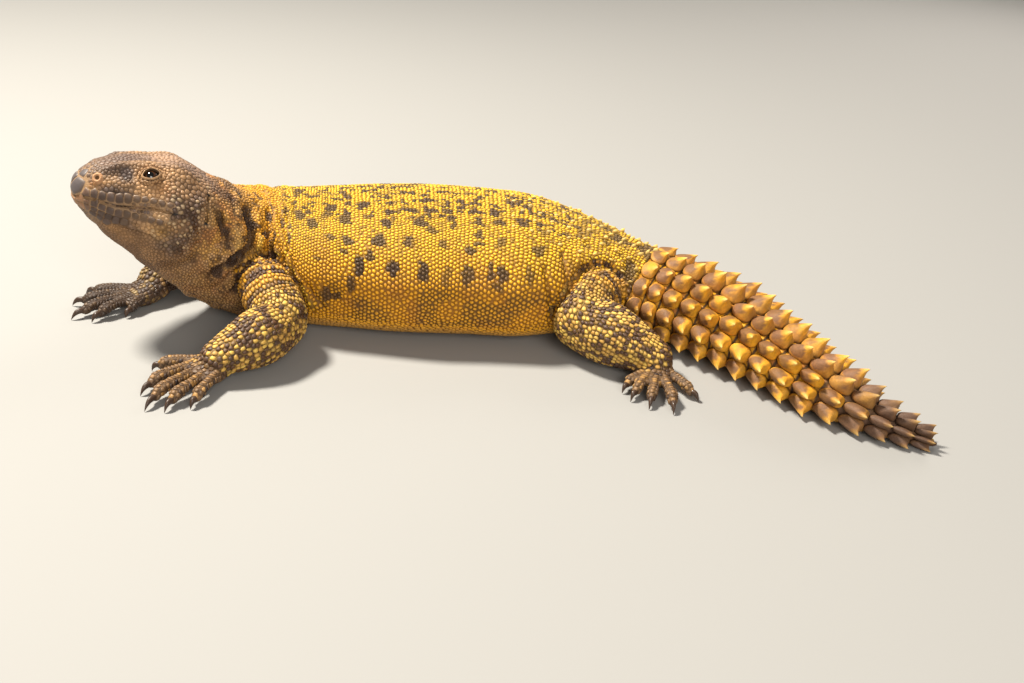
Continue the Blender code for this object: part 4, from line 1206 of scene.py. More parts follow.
def limb_paint(at, random):
    """The limbs' colour: dark scales with pale ones scattered among them, bands round their roots, and
    painted shade on the far forearm and far forefoot.
    """
    lumps = noise(at.points, 5.0, 6.6)
    pale_share = PALE_SHARE[at.kind]
    pale = ease(random[:, 0] * 0.6 + lumps * 0.5, 0.86 - pale_share * 0.62, 1.0 - pale_share * 0.62)
    limb = mix(mix(BARK, BROWN, random[:, 1]), mix(AMBER, STRAW, random[:, 1]), 0.9 * pale)
    wander = 4.0 * noise(at.points, 7.0, 9.1) + 1.6 * (random[:, 2] - 0.5)
    band = 0.5 + 0.5 * np.sin(at.run * math.tau / BAND_PITCH + wander)
    banded = mix(BARK, mix(GOLD, AMBER, random[:, 0]), ease(band + 0.5 * (lumps - 0.5), 0.3, 0.62))
    root = np.where((at.kind == UPPER_ARM) | (at.kind == THIGH), 1 - ease(at.share, 0.6, 1.0), 0)
    limb = mix(limb, banded, root)
    # The far forearm is painted dark as the shade it stands in.
    far = (at.kind == FOREARM) * (at.points[:, 1] > 0) * ease(at.share, 0.1, 0.6)
    limb = mix(limb, light(70, 52, 40), 0.7 * far)
    ring = 0.5 + 0.5 * np.sin(at.run * math.tau / 2.7 + 3 * lumps)
    dorsal = ease(np.sin(np.radians(at.angle)), 0.0, 0.8) * (at.kind == TOE)
    foot = mix(light(76, 56, 40), light(148, 112, 72), 0.6 * ring + 0.4 * dorsal + 0.5 * (random[:, 0] - 0.5))
    foot = mix(foot, AMBER, 0.25 * pale * (random[:, 1] > 0.6))
    # The right forefoot is painted dark as shade.
    foot = mix(foot, light(54, 41, 33), 0.85 * (at.points[:, 0] < SHADED_FOREFOOT_X))
    return mix(limb, foot, ease(at.kind, TOE - 1.5, TOE - 0.8))


def body_colour(at, random, dark):
    """The colour of the trunk's scales, with their blotches, painted shade in the folds' hollows and painted
    highlights on their ridges.
    """
    # Deeper gold low on the flanks and browner towards the belly: partly the animal's colour, partly painted
    # shade of the lower flanks.
    yellow = mix(GOLD, YELLOW, ease(at.side, -5, 50))
    orange = ease(noise(at.points, 7.0, 5.0), 0.5, 0.75) * (1 - ease(at.side, 30, 60))
    yellow = mix(yellow, ORANGE, 0.35 * orange)
    yellow = mix(yellow, mix(AMBER, BROWN, 0.25), ease(-at.side, 24, 44))
    body = mix(head_paint(at), yellow, ease(at.t, 8.9, 10.0))
    dusk = mix(light(50, 32, 20), light(80, 52, 32), 0.6 * random[:, 0] + 0.3 * ease(at.side, 48, 70))
    body = mix(body, dusk, 0.96 * dark)
    # Painted shade darkens the hollows of the neck's and groin's folds, and a painted highlight lightens
    # their ridges.
    depth = np.where((at.kind == TRUNK) & (at.t > 6.8), relief(np.maximum(at.t, 0), at.angle), 0)
    neck = ease(at.t, 7.0, 7.5) * (1 - ease(at.t, 10.8, 11.3))
    folded = neck + 0.7 * ease(at.t, 13.2, 13.5) * (1 - ease(at.t, 14.5, 14.9))
    body = mix(body, DARK, 0.85 * folded * ease(-depth, 0.9, 2.0))
    ridge = mix(light(240, 188, 116), YELLOW, ease(at.t, 7.6, 8.8))
    return mix(body, ridge, 0.8 * folded * ease(depth, -0.1, 0.7) * ease(at.side, -44, -12))


def plate_colour(at, random):
    """The colour of the plates at the snout and along the lips."""
    labial = mix(light(66, 48, 38), light(96, 76, 66), 0.7 * random[:, 0])
    labial = mix(labial, light(120, 92, 62), (0.3 + 0.4 * random[:, 2]) * ease(at.t, 3.8, 4.8))
    labial = mix(labial, light(178, 130, 92), 0.75 * (1 - ease(at.t, 1.6, 2.6)) * ease(-at.side, -8, 4))
    return mix(labial, light(88, 80, 80), at.side > 22)


def paint_places(at):
    """The colour of a scale's crest and of its rim."""
    count, trunk = len(at.points), at.kind == TRUNK
    random = np.random.default_rng(3).random((count, 3))
    dark, low = trunk_blotches(at)
    speck = ease(random[:, 2], 0.88, 0.94) * ease(at.t, 9.4, 10.2) * ease(at.side, 20, 50)
    dark = np.maximum(dark, 0.7 * speck)
    crest = np.where(trunk[:, None], body_colour(at, random, dark), limb_paint(at, random))
    thorn = getattr(at, "thorn", np.zeros(count))
    tipped = mix(mix(TAN, CREAM, 0.35), mix(YELLOW, CREAM, 0.45), ease(at.t, 7.5, 9.0))
    crest = mix(crest, tipped, 0.75 * ease(thorn, 0.2, 0.9))
    jaw = trunk * ease(at.t, 5.2, 5.8) * (1 - ease(at.t, 7.0, 7.3))
    jaw = jaw * ease(at.side, -30, -12) * (1 - ease(at.side, 22, 40))
    crest = mix(crest, light(210, 180, 138), 0.55 * jaw * (random[:, 2] > 0.83))
    crest = crest * (0.86 + 0.28 * random[:, 1:2])
    on_body = trunk * ease(at.t, 8.6, 10.0) * (1 - dark)
    # Off the body a rim is a darker copy of its crest's colour mixed with brown: partly the dark skin between
    # scales, partly painted shade at the scale's edge.
    rim = mix(mix(crest * 0.5, BROWN * 0.7, 0.3), RUST, 0.75 * on_body)
    rim = mix(rim, crest * 0.8, 0.75 * trunk * (1 - ease(at.t, 5.2, 6.6)))
    rim = mix(rim, DARK, 0.9 * low)
    crest = mix(crest, BROWN, 0.3 * low * random[:, 0])
    # Painted shade in the crease where each limb meets the trunk.
    rooted = 1 - ease(at.root, 0.8, 2.6)
    crest, rim = mix(crest, BROWN, 0.55 * rooted), mix(rim, DARK, 0.8 * rooted)
    plate = getattr(at, "plate", np.zeros(count)) > 0
    crest = np.where(plate[:, None], plate_colour(at, random), crest)
    lips = trunk * (1 - ease(at.mouth, 3.4, 4.4)) * (at.t > 1.0) * (at.t < 6.0)
    seam = np.maximum(trunk * (1 - ease(at.t, 2.4, 3.4)), lips)
    return crest, mix(rim, light(206, 166, 122), 0.55 * seam)


Shape = namedtuple("Shape", "height power tilt over gap")
THORN_STATIONS = (7.2, 13.2, 15.7)  # from the cheeks to the end of the hips


def scale_shapes(at):
    """Each scale's height, how flat its top is, its tilt and reach backwards, and the gap round it."""
    count = len(at.points)
    height, power, tilt, over, gap = (np.full(count, v) for v in (0.45, 2.6, 0.1, 0.05, 0.1))
    on_trunk = at.kind == TRUNK
    trunk = on_trunk & (at.t >= NECK_TO)
    flank = trunk & (at.side < 50)
    height[flank], power[flank] = 0.62, 2.0
    lower = trunk & (at.side < -28)
    height[lower], power[lower] = 0.35, 3.0
    head = on_trunk & (at.t < HEAD_TO)
    height[head], power[head], gap[head] = 0.19, 3.5, 0.03
    temple = head & (at.t > 5.2) & (at.side > 20)
    height[temple] = 0.26
    cheek = head & (at.t > 5.5) & (at.side < 34) & (at.side > -14)
    height[cheek], power[cheek] = 0.62, 1.6
    throat = head & (at.side < -20)
    height[throat], power[throat] = 0.14, 2.5
    neck = on_trunk & (at.t >= HEAD_TO) & (at.t < NECK_TO)
    height[neck], power[neck] = 0.4, 1.9
    limb = (at.kind > TRUNK) & (at.kind <= SHIN)
    height[limb], power[limb], tilt[limb], over[limb], gap[limb] = 0.5, 2.4, 0.5, 0.2, 0.06
    foot = at.kind >= PALM
    height[foot], power[foot], tilt[foot], over[foot], gap[foot] = 0.3, 3.0, 0.5, 0.12, 0.04
    on_lid = at.eye < 3
    height[on_lid] = np.clip(0.12 + 0.12 * (at.eye[on_lid] - 1.2), 0.12, 0.35)
    height = np.minimum(height, 0.3 * at.pitch)
    thorny = at.thorn > 0.2
    t = at.t[thorny]
    height[thorny] += at.thorn[thorny] * np.interp(t, THORN_STATIONS, (0.3, 0.5, 1.9))
    power[thorny], gap[thorny] = 1.1, 0.0
    over[thorny] = np.interp(t, THORN_STATIONS, (0.1, 0.25, 0.6))
    plate = at.plate > 0
    height[plate], power[plate], tilt[plate], over[plate], gap[plate] = 0.34, 5.0, 0.0, 0.0, 0.03
    return Shape(height, power, tilt, over, gap)


# The cheeks' larger scales: station and angle on either side.
TUBERCLES = (
    (5.75, 34), (6.5, 60), (6.75, 32), (5.65, 8), (6.85, 4), (6.35, 8), (6.1, 20), (6.6, 18), (7.0, 54),
)


def mark_thorns(at):
    """How far each scale is drawn out to a pale tip: scattered over the hips, and a few on the cheeks."""
    at.thorn = np.zeros(len(at.points))
    hips = (at.kind == TRUNK) & (at.t > 13.0) & (at.t < WHORL_FIRST)
    hips &= at.side > np.interp(at.t, (13.0, 14.6, 15.4), (62, 40, 10))
    tree = tree_of(at.points)
    free = hips.copy()
    for k in np.flatnonzero(hips):
        if free[k]:
            at.thorn[k] = 1.0
            for _, other, _ in tree.find_range(at.points[k], np.interp(at.t[k], (13.2, 15.7), (7.5, 5.2))):
                free[other] = False
    for t, angle in TUBERCLES:
        for side in SIDES:
            at.thorn[tree.find(skin(t, mirror_angle(angle, side), -SKIN_DEPTH))[1]] = 0.6


# A scale's rings from its sunk rim inwards: how wide each is on rounded scales and on flat plates, and how
# much of the crest's colour it has on either.
RINGS = ((1.0, 1.0, 0.0, 0.0), (0.84, 0.93, 0.3, 0.75), (0.5, 0.66, 0.85, 1.0))
FLAT = 3.0  # the least power of the plates whose colour reaches their edge
SUNK, CLEAR = 0.3, 0.05  # how deep scales are rooted, and how far their crests stand clear of the skin
NEIGHBOURS = 20


def outline_of(at, everything, tree, turns):
    """How far each scale reaches in each direction before it meets its neighbours."""
    found = [[k for _, k, _ in tree.find_n(p, NEIGHBOURS)] for p in at.points]
    near = np.array(found)[:, 1:]
    across = np.cross(at.normals, at.lie)
    gap = everything.points[near] - at.points[:, None]
    u, v = np.einsum("ijk,ik->ij", gap, at.lie), np.einsum("ijk,ik->ij", gap, across)
    distance = np.hypot(u, v)
    half = distance * (at.pitch[:, None] / (at.pitch[:, None] + everything.pitch[near]))
    facing = np.einsum("ijk,ik->ij", everything.normals[near], at.normals)
    half = np.where(facing < 0.1, FAR, half)
    lean = np.cos(turns[None, None, :] - np.arctan2(v, u)[:, :, None])
    reach = np.where(lean > 0.05, half[:, :, None] / np.maximum(lean, 0.05), FAR).min(axis=1)
    most = np.select([at.kind == TOE, at.plate > 0], [1.5, 0.95], 0.8)
    return np.minimum(reach, (most * at.pitch)[:, None]), across


def grow_scales(name, at, reach, across, shape, colours, ground, turns):
    """One piece of scales: closed low solids with their rims sunk in the skin."""
    crest, rim = colours
    count, sides = reach.shape
    reach = reach * (1 - shape.gap[:, None])
    rounding = np.where(at.plate > 0, 0.08, 0.25)[:, None]
    reach = (1 - rounding) * reach + rounding * np.minimum(reach, reach.mean(axis=1, keepdims=True))
    cos, sin = np.cos(turns), np.sin(turns)
    rings, paints, patches = [], [], []
    flat_plate = (shape.power >= FLAT)[:, None]
    for number, (round_share, flat_share, round_crest, flat_crest) in enumerate(RINGS):
        share = np.where(flat_plate, flat_share, round_share)
        r = reach * share
        back = r * cos + (shape.over * at.pitch)[:, None] * np.maximum(cos, 0) * (number > 0)
        flat = at.points[:, None] + at.lie[:, None] * back[..., None] + across[:, None] * (r * sin)[..., None]
        sunk = ground.nearest(flat.reshape(-1, 3)).reshape(flat.shape) - flat
        stray = np.linalg.norm(sunk, axis=2, keepdims=True) / (0.35 * at.pitch[:, None, None])
        based = flat + sunk / np.maximum(stray, 1)
        if number == 0:
            lift = np.full((count, sides), -SUNK)
        else:
            dome = shape.height[:, None] * (1 - share ** shape.power[:, None])
            lift = dome + (shape.tilt * shape.height)[:, None] * cos * share + CLEAR
        rings.append(based + at.normals[:, None] * lift[..., None])
        weight = np.where(flat_plate, flat_crest, round_crest)
        paints.append(np.repeat((rim * (1 - weight) + crest * weight)[:, None], sides, axis=1))
        patches.append((round_share * np.stack([cos, sin], -1))[None].repeat(count, 0))
    top = at.points + at.normals * (shape.height + CLEAR)[:, None] + at.lie * (shape.over * at.pitch)[:, None]
    points = np.concatenate([*rings, top[:, None]], axis=1)
    points[..., 2] = np.maximum(points[..., 2], SOLID_GAP)
    obj = make_mesh(name, points.reshape(-1, 3), solid_faces(len(RINGS), sides, count))
    paint_mesh(obj.data, np.concatenate([*paints, crest[:, None]], axis=1))
    bake_map(obj, at, np.concatenate([*patches, np.zeros((count, 1, 2))], axis=1))
    smooth(obj)
    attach(obj, "root")
    return obj


BAKE_PATCH = 0.0015  # half the width of a scale's patch on the bake map


def bake_map(obj, at, patch):
    """A UV map with a small patch for each scale, at its root's place on an unwrap of the skin's lengths."""
    parts = sorted(set(at.part.tolist()))
    grid = math.ceil(math.sqrt(len(parts)))
    centre = np.zeros((len(at.points), 2))
    for k, part in enumerate(parts):
        mine = at.part == part
        run, angle = at.run[mine], at.angle[mine] % 360
        u = (run - run.min()) / max(np.ptp(run), TINY)
        v = (angle - angle.min()) / max(np.ptp(angle), TINY)
        centre[mine] = (np.stack([k % grid + 0.05 + 0.9 * u, k // grid + 0.05 + 0.9 * v], -1)) / grid
    place = (centre[:, None] + patch * BAKE_PATCH).reshape(-1, 2)
    corners = np.empty(len(obj.data.loops), np.int32)
    obj.data.loops.foreach_get("vertex_index", corners)
    layer = obj.data.uv_layers.new(name="OFBake")
    layer.data.foreach_set("uv", place[corners].astype(np.float32).ravel())


class Value:
    """A material's socket, on which sums and products add Math nodes."""

    def __init__(self, finish, socket):
        self.finish, self.socket = finish, socket

    def math(self, operation, other):
        """The socket of a Math node that takes this one and another."""
        return self.finish.node("ShaderNodeMath", {"operation": operation}, {0: self, 1: other})

    def __add__(self, other):
        return self.math("ADD", other)

    def __mul__(self, other):
        return self.math("MULTIPLY", other)


class Finish:
    """A material under construction, with one Principled shader."""

    def __init__(self, name, **constants):
        self.material = bpy.data.materials.new(name)
        self.material.use_nodes = True
        self.tree = self.material.node_tree
        self.shader = self.tree.nodes["Principled BSDF"]
        for key, value in constants.items():
            self.shader.inputs[key.replace("_", " ")].default_value = value

    def node(self, kind, settings=None, inputs=None, output=0):
        """A new node with its settings and inputs, read at one output."""
        made = self.tree.nodes.new(kind)
        for key, value in (settings or {}).items():
            setattr(made, key, value)
        for key, value in (inputs or {}).items():
            self.feed(made.inputs[key], value)
        return Value(self, made.outputs[output])

    def feed(self, socket, value):
        """Gives a socket another socket or a constant."""
        if isinstance(value, Value):
            self.tree.links.new(value.socket, socket)
        else:
            socket.default_value = value

    def set(self, key, value):
        """Gives one of the shader's sockets a value."""
        self.feed(self.shader.inputs[key], value)

    def coordinates(self):
        """Coordinates in the object's own metres."""
        return self.node("ShaderNodeTexCoord", output="Object")

    def noise(self, scale, detail=3.0, rough=0.5):
        """Noise from 0 to 1, with so many lumps a metre."""
        inputs = {"Vector": self.coordinates(), "Scale": scale, "Detail": detail, "Roughness": rough}
        return self.node("ShaderNodeTexNoise", None, inputs)

    def colour_mix(self, factor, first, second):
        """The first colour where the factor is 0, and the second where it is 1."""
        return self.node("ShaderNodeMix", {"data_type": "RGBA"}, {0: factor, 6: first, 7: second}, 2)

    def bump(self, height, distance, strength=1.0):
        """Directions for the shader, from a height that far in metres."""
        inputs = {"Strength": strength, "Distance": distance, "Height": height}
        return self.node("ShaderNodeBump", None, inputs)

    def paint(self):
        """The mesh's own colours."""
        return self.node("ShaderNodeAttribute", {"attribute_name": "paint"}, None, "Color")


def scale_finish(name, rough, mottle, bump_depth=0.00012):
    """Horn in its own colours, finely mottled."""
    made = Finish(name, IOR=1.5)
    paint = made.paint()
    grain = made.noise(900.0, 4.0, 0.6)
    lighter = made.colour_mix(grain * mottle, paint, (0.02, 0.014, 0.01, 1))
    made.set("Base Color", lighter)
    made.set("Roughness", made.noise(350.0, 2.0) * 0.25 + rough)
    made.set("Normal", made.bump(made.noise(1600.0, 3.0, 0.6), bump_depth, 0.6))
    return made.material


def skin_finish():
    """Bare skin in its own colours, with a fine grain like tiny scales."""
    made = Finish("skin_between_scales", IOR=1.45)
    paint = made.paint()
    inputs = {"Vector": made.coordinates(), "Scale": 1100.0}
    cells = made.node("ShaderNodeTexVoronoi", {"feature": "DISTANCE_TO_EDGE"}, inputs)
    grain = made.noise(1200.0, 4.0, 0.6)
    made.set("Base Color", made.colour_mix(grain * 0.5, paint, (0.03, 0.018, 0.012, 1)))
    made.set("Roughness", grain * 0.2 + 0.55)
    made.set("Normal", made.bump(cells * 0.7 + grain * 0.4, 0.0003, 0.7))
    return made.material


def plain_finish(name, colour, rough, coat=0.0):
    """One colour, mottled darker."""
    made = Finish(name, IOR=1.45)
    grain = made.noise(500.0, 4.0, 0.6)
    made.set("Base Color", made.colour_mix(grain, (*colour, 1), (*(colour * 0.45), 1)))
    made.set("Roughness", grain * 0.2 + rough)
    made.set("Normal", made.bump(made.noise(900.0, 3.0), 0.0002, 0.5))
    made.set("Coat Weight", coat)
    return made.material


# Building.
skin_map = SkinMap()
skin_obj, limb_creases = make_skin(skin_map)
ground = Ground(skin_obj)
seeds = all_seeds(ground, skin_map)
seed_tree = tree_of(seeds.points)
seed_shape = scale_shapes(seeds)
seed_crest, seed_rim = paint_places(seeds)

scale_material = scale_finish("scales", 0.42, 0.35)
limb_names = [length.name for length in LENGTHS]
right = np.array(["right" in n for n in limb_names])[seeds.part]
arm = np.array(["arm" in n or "fore" in n for n in limb_names])[seeds.part]
trunk = seeds.kind == TRUNK
NECK_PIECE_TO = 10.2  # the station where the neck's piece of scales meets those of the back and flanks
BACK_FROM, BACK_TO = 145, 215  # degrees from the middle of the belly over the left flank
belly_angle = (seeds.angle + 90) % 360
torso = trunk & (seeds.t >= NECK_PIECE_TO) & (seeds.t < WHORL_FIRST)
PIECES = {
    "plates_head": (seeds.plate > 0, "head_skin"),
    "scales_head": (trunk & (seeds.t < HEAD_TO) & (seeds.plate == 0), "head_skin"),
    "scales_neck": (trunk & (seeds.t >= HEAD_TO) & (seeds.t < NECK_PIECE_TO), "neck_skin"),
    "scales_flank_left": (torso & (belly_angle < BACK_FROM), "body_skin"),
    "scales_back": (torso & (belly_angle >= BACK_FROM) & (belly_angle < BACK_TO), "body_skin"),
    "scales_flank_right": (torso & (belly_angle >= BACK_TO), "body_skin"),
    "scales_tail": (trunk & (seeds.t >= WHORL_FIRST), "tail_skin"),
    "scales_arm_left": (~trunk & arm & ~right, "leg_skin"),
    "scales_arm_right": (~trunk & arm & right, "leg_skin"),
    "scales_leg_left": (~trunk & ~arm & ~right, "leg_skin"),
    "scales_leg_right": (~trunk & ~arm & right, "leg_skin"),
}
FINE_SIDES, WIDE_SIDES, PLATE_SIDES = 7, 9, 20
FINE_PITCH = 1.7  # pieces whose scales are closer than this have fewer sides
for piece_name, (chosen, slot_name) in PIECES.items():
    some = seeds.taken(chosen)
    sides = PLATE_SIDES if some.plate.all() else FINE_SIDES if some.pitch.mean() < FINE_PITCH else WIDE_SIDES
    turns = (np.arange(sides) + 0.5) * math.tau / sides
    reach, across = outline_of(some, seeds, seed_tree, turns)
    shape = Shape(*(v[chosen] for v in seed_shape))
    colours = (seed_crest[chosen], seed_rim[chosen])
    made = grow_scales(piece_name, some, reach, across, shape, colours, ground, turns)
    made.data.materials.append(scale_material)

# The tints round an eye, the black rings being painted shade at the opening's edge and in the lids' crease:
# how far out, as a share of the opening, how wide, the colour and its strength.
LID_TINTS_AND_SHADE = (
    # Painted shade at the opening's edge.
    (1.0, 0.05, BLACK, 0.8),
    (1.17, 0.1, light(206, 164, 120), 0.9),
    (1.62, 0.14, TAN, 0.45),
    # Painted shade in the crease between the lids' folds.
    (1.38, 0.07, BLACK, 0.8),
)


def finish_skin():
    """Paints the skin: scales' rims all over, the whorls' joints, and the edges of the head's openings, with
    painted shade inside them and in the lids' crease.
    """
    points, normals = read_points(skin_obj.data), read_normals(skin_obj.data)
    at = Places(points, normals, skin_map)
    at.pitch = scale_pitch(at)
    crest, rim = paint_places(at)
    colour = mix(rim, crest, 0.15)
    on_tail = ease(at.t, WHORL_FIRST - 0.15, WHORL_FIRST + 0.1) * (at.kind == TRUNK)
    line = np.min(np.abs(at.run[:, None] - WHORLS[None]), axis=1)
    strip = mix(mix(GOLD, ORANGE, ease(noise(points, 3.0), 0.4, 0.7)), DARK, 1 - ease(line, 0.3, 0.8))
    strip = mix(strip, light(96, 70, 54), ease(at.run, WHORLS[9], WHORLS[11]))
    colour = mix(colour, strip, 0.85 * on_tail)
    # Painted shade inside the mouth line, the ear slits and the nostrils.
    opening_shade_gap = np.minimum.reduce([at.mouth / 0.5, at.ear / 0.8, at.nostril / 0.8])
    colour = mix(colour, BLACK * 0.5, 1 - ease(opening_shade_gap, 0.6, 1.3))
    nostril_ring = ease(at.nostril, 0.7, 1.0) * (1 - ease(at.nostril, 2.1, 2.5))
    colour = mix(colour, light(192, 142, 100), 0.9 * nostril_ring)
    lid = (1 - ease(at.eye, 1.9, 2.4)) * ease(at.eye, 0.85, 1.0)
    colour = mix(colour, mix(BROWN, TAN, ease(noise(points, 0.8), 0.4, 0.7)), 0.8 * lid)
    for place, width, tint, strength in LID_TINTS_AND_SHADE:
        colour = mix(colour, tint, strength * np.exp(-(((at.eye - place) / width) ** 2)))
    paint_mesh(skin_obj.data, colour)
    skin_obj.data.materials.append(skin_finish())


finish_skin()
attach(skin_obj, "root")
FLESH = [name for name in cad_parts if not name.startswith("eye")]
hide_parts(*FLESH)


# The tail's spines. Levels run from a spine's sunk base to near its tip. Against them stand how wide it is,
# and where its middle lies, as a share of its whorl's length.
SPINE_LEVELS = np.array([-0.16, 0.0, 0.1, 0.2, 0.31, 0.43, 0.55, 0.67, 0.78, 0.88, 0.95])
SPINE_WIDE = [
    (-0.16, 1.0), (0, 1.0), (0.1, 0.98), (0.25, 0.86), (0.4, 0.68),
    (0.55, 0.49), (0.7, 0.31), (0.85, 0.15), (0.95, 0.05), (1, 0),
]
SPINE_MIDDLE = [(-0.16, 0.49), (0, 0.49), (0.2, 0.52), (0.4, 0.6), (0.6, 0.71), (0.8, 0.85), (1.0, 1.02)]
SPINE_SIDES = 20
Spine = namedtuple("Spine", "points run angle whorl draws")
Roots = namedtuple("Roots", "points part run angle")


def spines_round(k):
    """How many spines a whorl has."""
    return 9 if k < 5 else 8 if k < 10 else 6


def shape_spines():
    """The spines of either side, from the first whorl to the last."""
    random = np.random.default_rng(17)
    turn = np.arange(SPINE_SIDES) * math.tau / SPINE_SIDES
    cos, sin = np.cos(turn), np.sin(turn)
    boxy = np.where(cos > 0, 0.62, 0.95)
    box_cos, box_sin = np.sign(cos) * np.abs(cos) ** boxy, np.sign(sin) * np.abs(sin) ** boxy
    spines = {side: [] for side in SIDES}
    for k in range(WHORL_COUNT):
        low, pitch = WHORLS[k], WHORLS[k + 1] - WHORLS[k]
        count = spines_round(k)
        step = (SPINE_TO - SPINE_FROM) / count
        growth = np.interp(k, *zip(*SPINE_GROWTH))
        for m in range(count):
            angle = SPINE_FROM + (m + 0.5) * step
            raised = 0.8 + 0.35 * math.exp(-(((angle - 90) / 60) ** 2))
            tall = pitch * SPINE_TALL * growth * raised * random.uniform(0.92, 1.12)
            lean = random.uniform(-0.06, 0.06)
            rings = []
            for level in SPINE_LEVELS:
                wide = np.interp(level, *zip(*SPINE_WIDE))
                mid = np.interp(level, *zip(*SPINE_MIDDLE))
                keel = 1 + 0.2 * np.exp(-((sin / 0.3) ** 2)) * np.clip(level * 3, 0, 1) * (cos < 0)
                run = low + pitch * (mid + 0.49 * wide * box_cos * keel)
                away = angle + step * (0.5 * wide * box_sin * 0.98 + lean * level)
                out = tall * level - SKIN_DEPTH * 0.3 + tall * 0.05 * keel
                rings.append(skin(station_at(run), away, out))
            tip_at = station_at(np.array([low + pitch * 1.03]))
            tip = skin(tip_at, np.array([angle + step * lean]), np.array([tall]))
            side = "left" if m < count / 2 else "right"
            found = Spine(np.concatenate([*rings, tip]), low + pitch / 2, angle, k, random.random(3))
            spines[side].append(found)
    return spines


def grow_spines(side, spines):
    """One side's tail spines: golden, with brown patches on their backs and pale tips."""
    rows, count = len(SPINE_LEVELS), len(spines)
    each = rows * SPINE_SIDES + 1
    turn = np.arange(SPINE_SIDES) * math.tau / SPINE_SIDES
    level = np.append(np.repeat(SPINE_LEVELS, SPINE_SIDES), 1.0)
    front = np.append(np.tile(-np.cos(turn), rows), 0.0)
    across = np.append(np.tile(np.sin(turn), rows), 0.0)
    points = np.array([spine.points for spine in spines])
    points[..., 2] = np.maximum(points[..., 2], SOLID_GAP)
    draws = np.array([spine.draws for spine in spines])
    whorl = np.array([spine.whorl for spine in spines])[:, None]
    run, angle = np.array([spine.run for spine in spines]), np.array([spine.angle for spine in spines])
    dorsal = left_angle(angle)[:, None]
    sizes = ((1.6, 0.0), (4.5, 7.0), (0.9, 2.0))
    grain, flow, mottle = (noise(points.reshape(-1, 3), *size).reshape(count, each) for size in sizes)
    colour = np.broadcast_to(GOLD * 0.8 + AMBER * 0.2, (count, each, 3))
    ahead = front * (1 - 0.2 * level)
    dome = np.exp(-(((level - 0.43) / 0.3) ** 4)) * ease(ahead + 0.8 * (grain - 0.5), -0.7, 0.1)
    patch = ease(dome * (0.5 + 0.7 * draws[:, 1:2]) + 0.5 * (flow - 0.5), 0.34, 0.66)
    top = ease(dorsal, 45, 74) * ease(0.8 - level + 0.5 * (flow - 0.5), 0.1, 0.5)
    streak = ease(np.sin(16 * np.arctan2(across, -front) + 6 * grain), 0.2, 0.9) * ease(0.9 - level, 0, 0.3)
    hindmost = ease(whorl + 1.2 * (draws[:, 2:3] - 0.5), 9.0, 11.5)
    tipped = ease(level + 0.12 * (grain - 0.5), 0.72, 1.0) * (1 - 0.5 * ease(whorl, 9, 13))
    for tint, weight in (
        (light(206, 126, 30), 0.5 * ease(flow, 0.45, 0.7)),
        (light(108, 72, 50), 0.85 * patch),
        (light(150, 104, 74), 0.4 * top),
        (BROWN, 0.18 * streak),
        (DARK, 0.85 * ease(-level, -0.07, 0.03)),
        (light(120, 88, 66), 0.8 * hindmost),
        (light(84, 60, 46), 0.7 * ease(whorl, 10.5, 13) * ease(0.85 - level, 0, 0.3)),
        (YELLOW * 0.5 + CREAM * 0.5, 0.75 * tipped),
    ):
        colour = mix(colour, tint, weight)
    colour = colour * (0.8 + 0.4 * mottle)[..., None]
    obj = make_mesh(f"tail_spines_{side}", points.reshape(-1, 3), solid_faces(rows, SPINE_SIDES, count))
    paint_mesh(obj.data, colour)
    patches = np.stack([-front * (1 - level), across * (1 - level)], -1)[None].repeat(count, 0)
    bake_map(obj, Roots(points[:, 0], np.zeros(count, int), run, angle), patches)
    smooth(obj)
    obj.data.materials.append(scale_finish(f"spines_{side}", 0.5, 0.6, 0.0004))
    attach(obj, "root")


for spine_side, side_spines in shape_spines().items():
    grow_spines(spine_side, side_spines)


# Claws and eyes.
def grow_claws(name, plan):
    """The claws of one foot, arched and drawn out to points."""
    levels, sides = np.linspace(0, 1, 14), 14
    turn = np.arange(sides) * math.tau / sides
    points, faces, caps = [], [], []
    for _, knuckle, claw_tip in plan.toes:
        _, bed, tip = claw_places(knuckle, claw_tip)
        reach = tip - bed
        side = unit(np.cross(reach, (0, 0, 1)))
        up = unit(np.cross(side, reach))
        first = len(faces) * len(levels) * sides
        last = first + (len(levels) - 1) * sides
        for level in levels:
            thick = CLAW_RADIUS * (1 - level**1.6 * 0.96)
            place = bed + reach * level + up * 1.4 * math.sin(level * math.pi)
            points.append(place + thick * (0.8 * side * np.cos(turn)[:, None] + up * np.sin(turn)[:, None]))
        faces.append(ring_faces(len(levels), sides, first))
        caps += [np.arange(first, first + sides)[::-1][None], np.arange(last, last + sides)[None]]
    points = np.concatenate(points)
    points[:, 2] = np.maximum(points[:, 2], SOLID_GAP)
    obj = make_mesh(name, points, [np.concatenate(faces), np.concatenate(caps)])
    smooth(obj)
    obj.data.materials.append(claw_material)
    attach(obj, "root")


claw_material = plain_finish("claw_horn", light(74, 54, 40), 0.34, 0.1)
for claw_name, plan in (
    ("claws_fore_left", FOOT_FORE_LEFT),
    ("claws_fore_right", FOOT_FORE_RIGHT),
    ("claws_hind_left", FOOT_HIND_LEFT),
    ("claws_hind_right", FOOT_HIND_RIGHT),
):
    grow_claws(claw_name, plan)


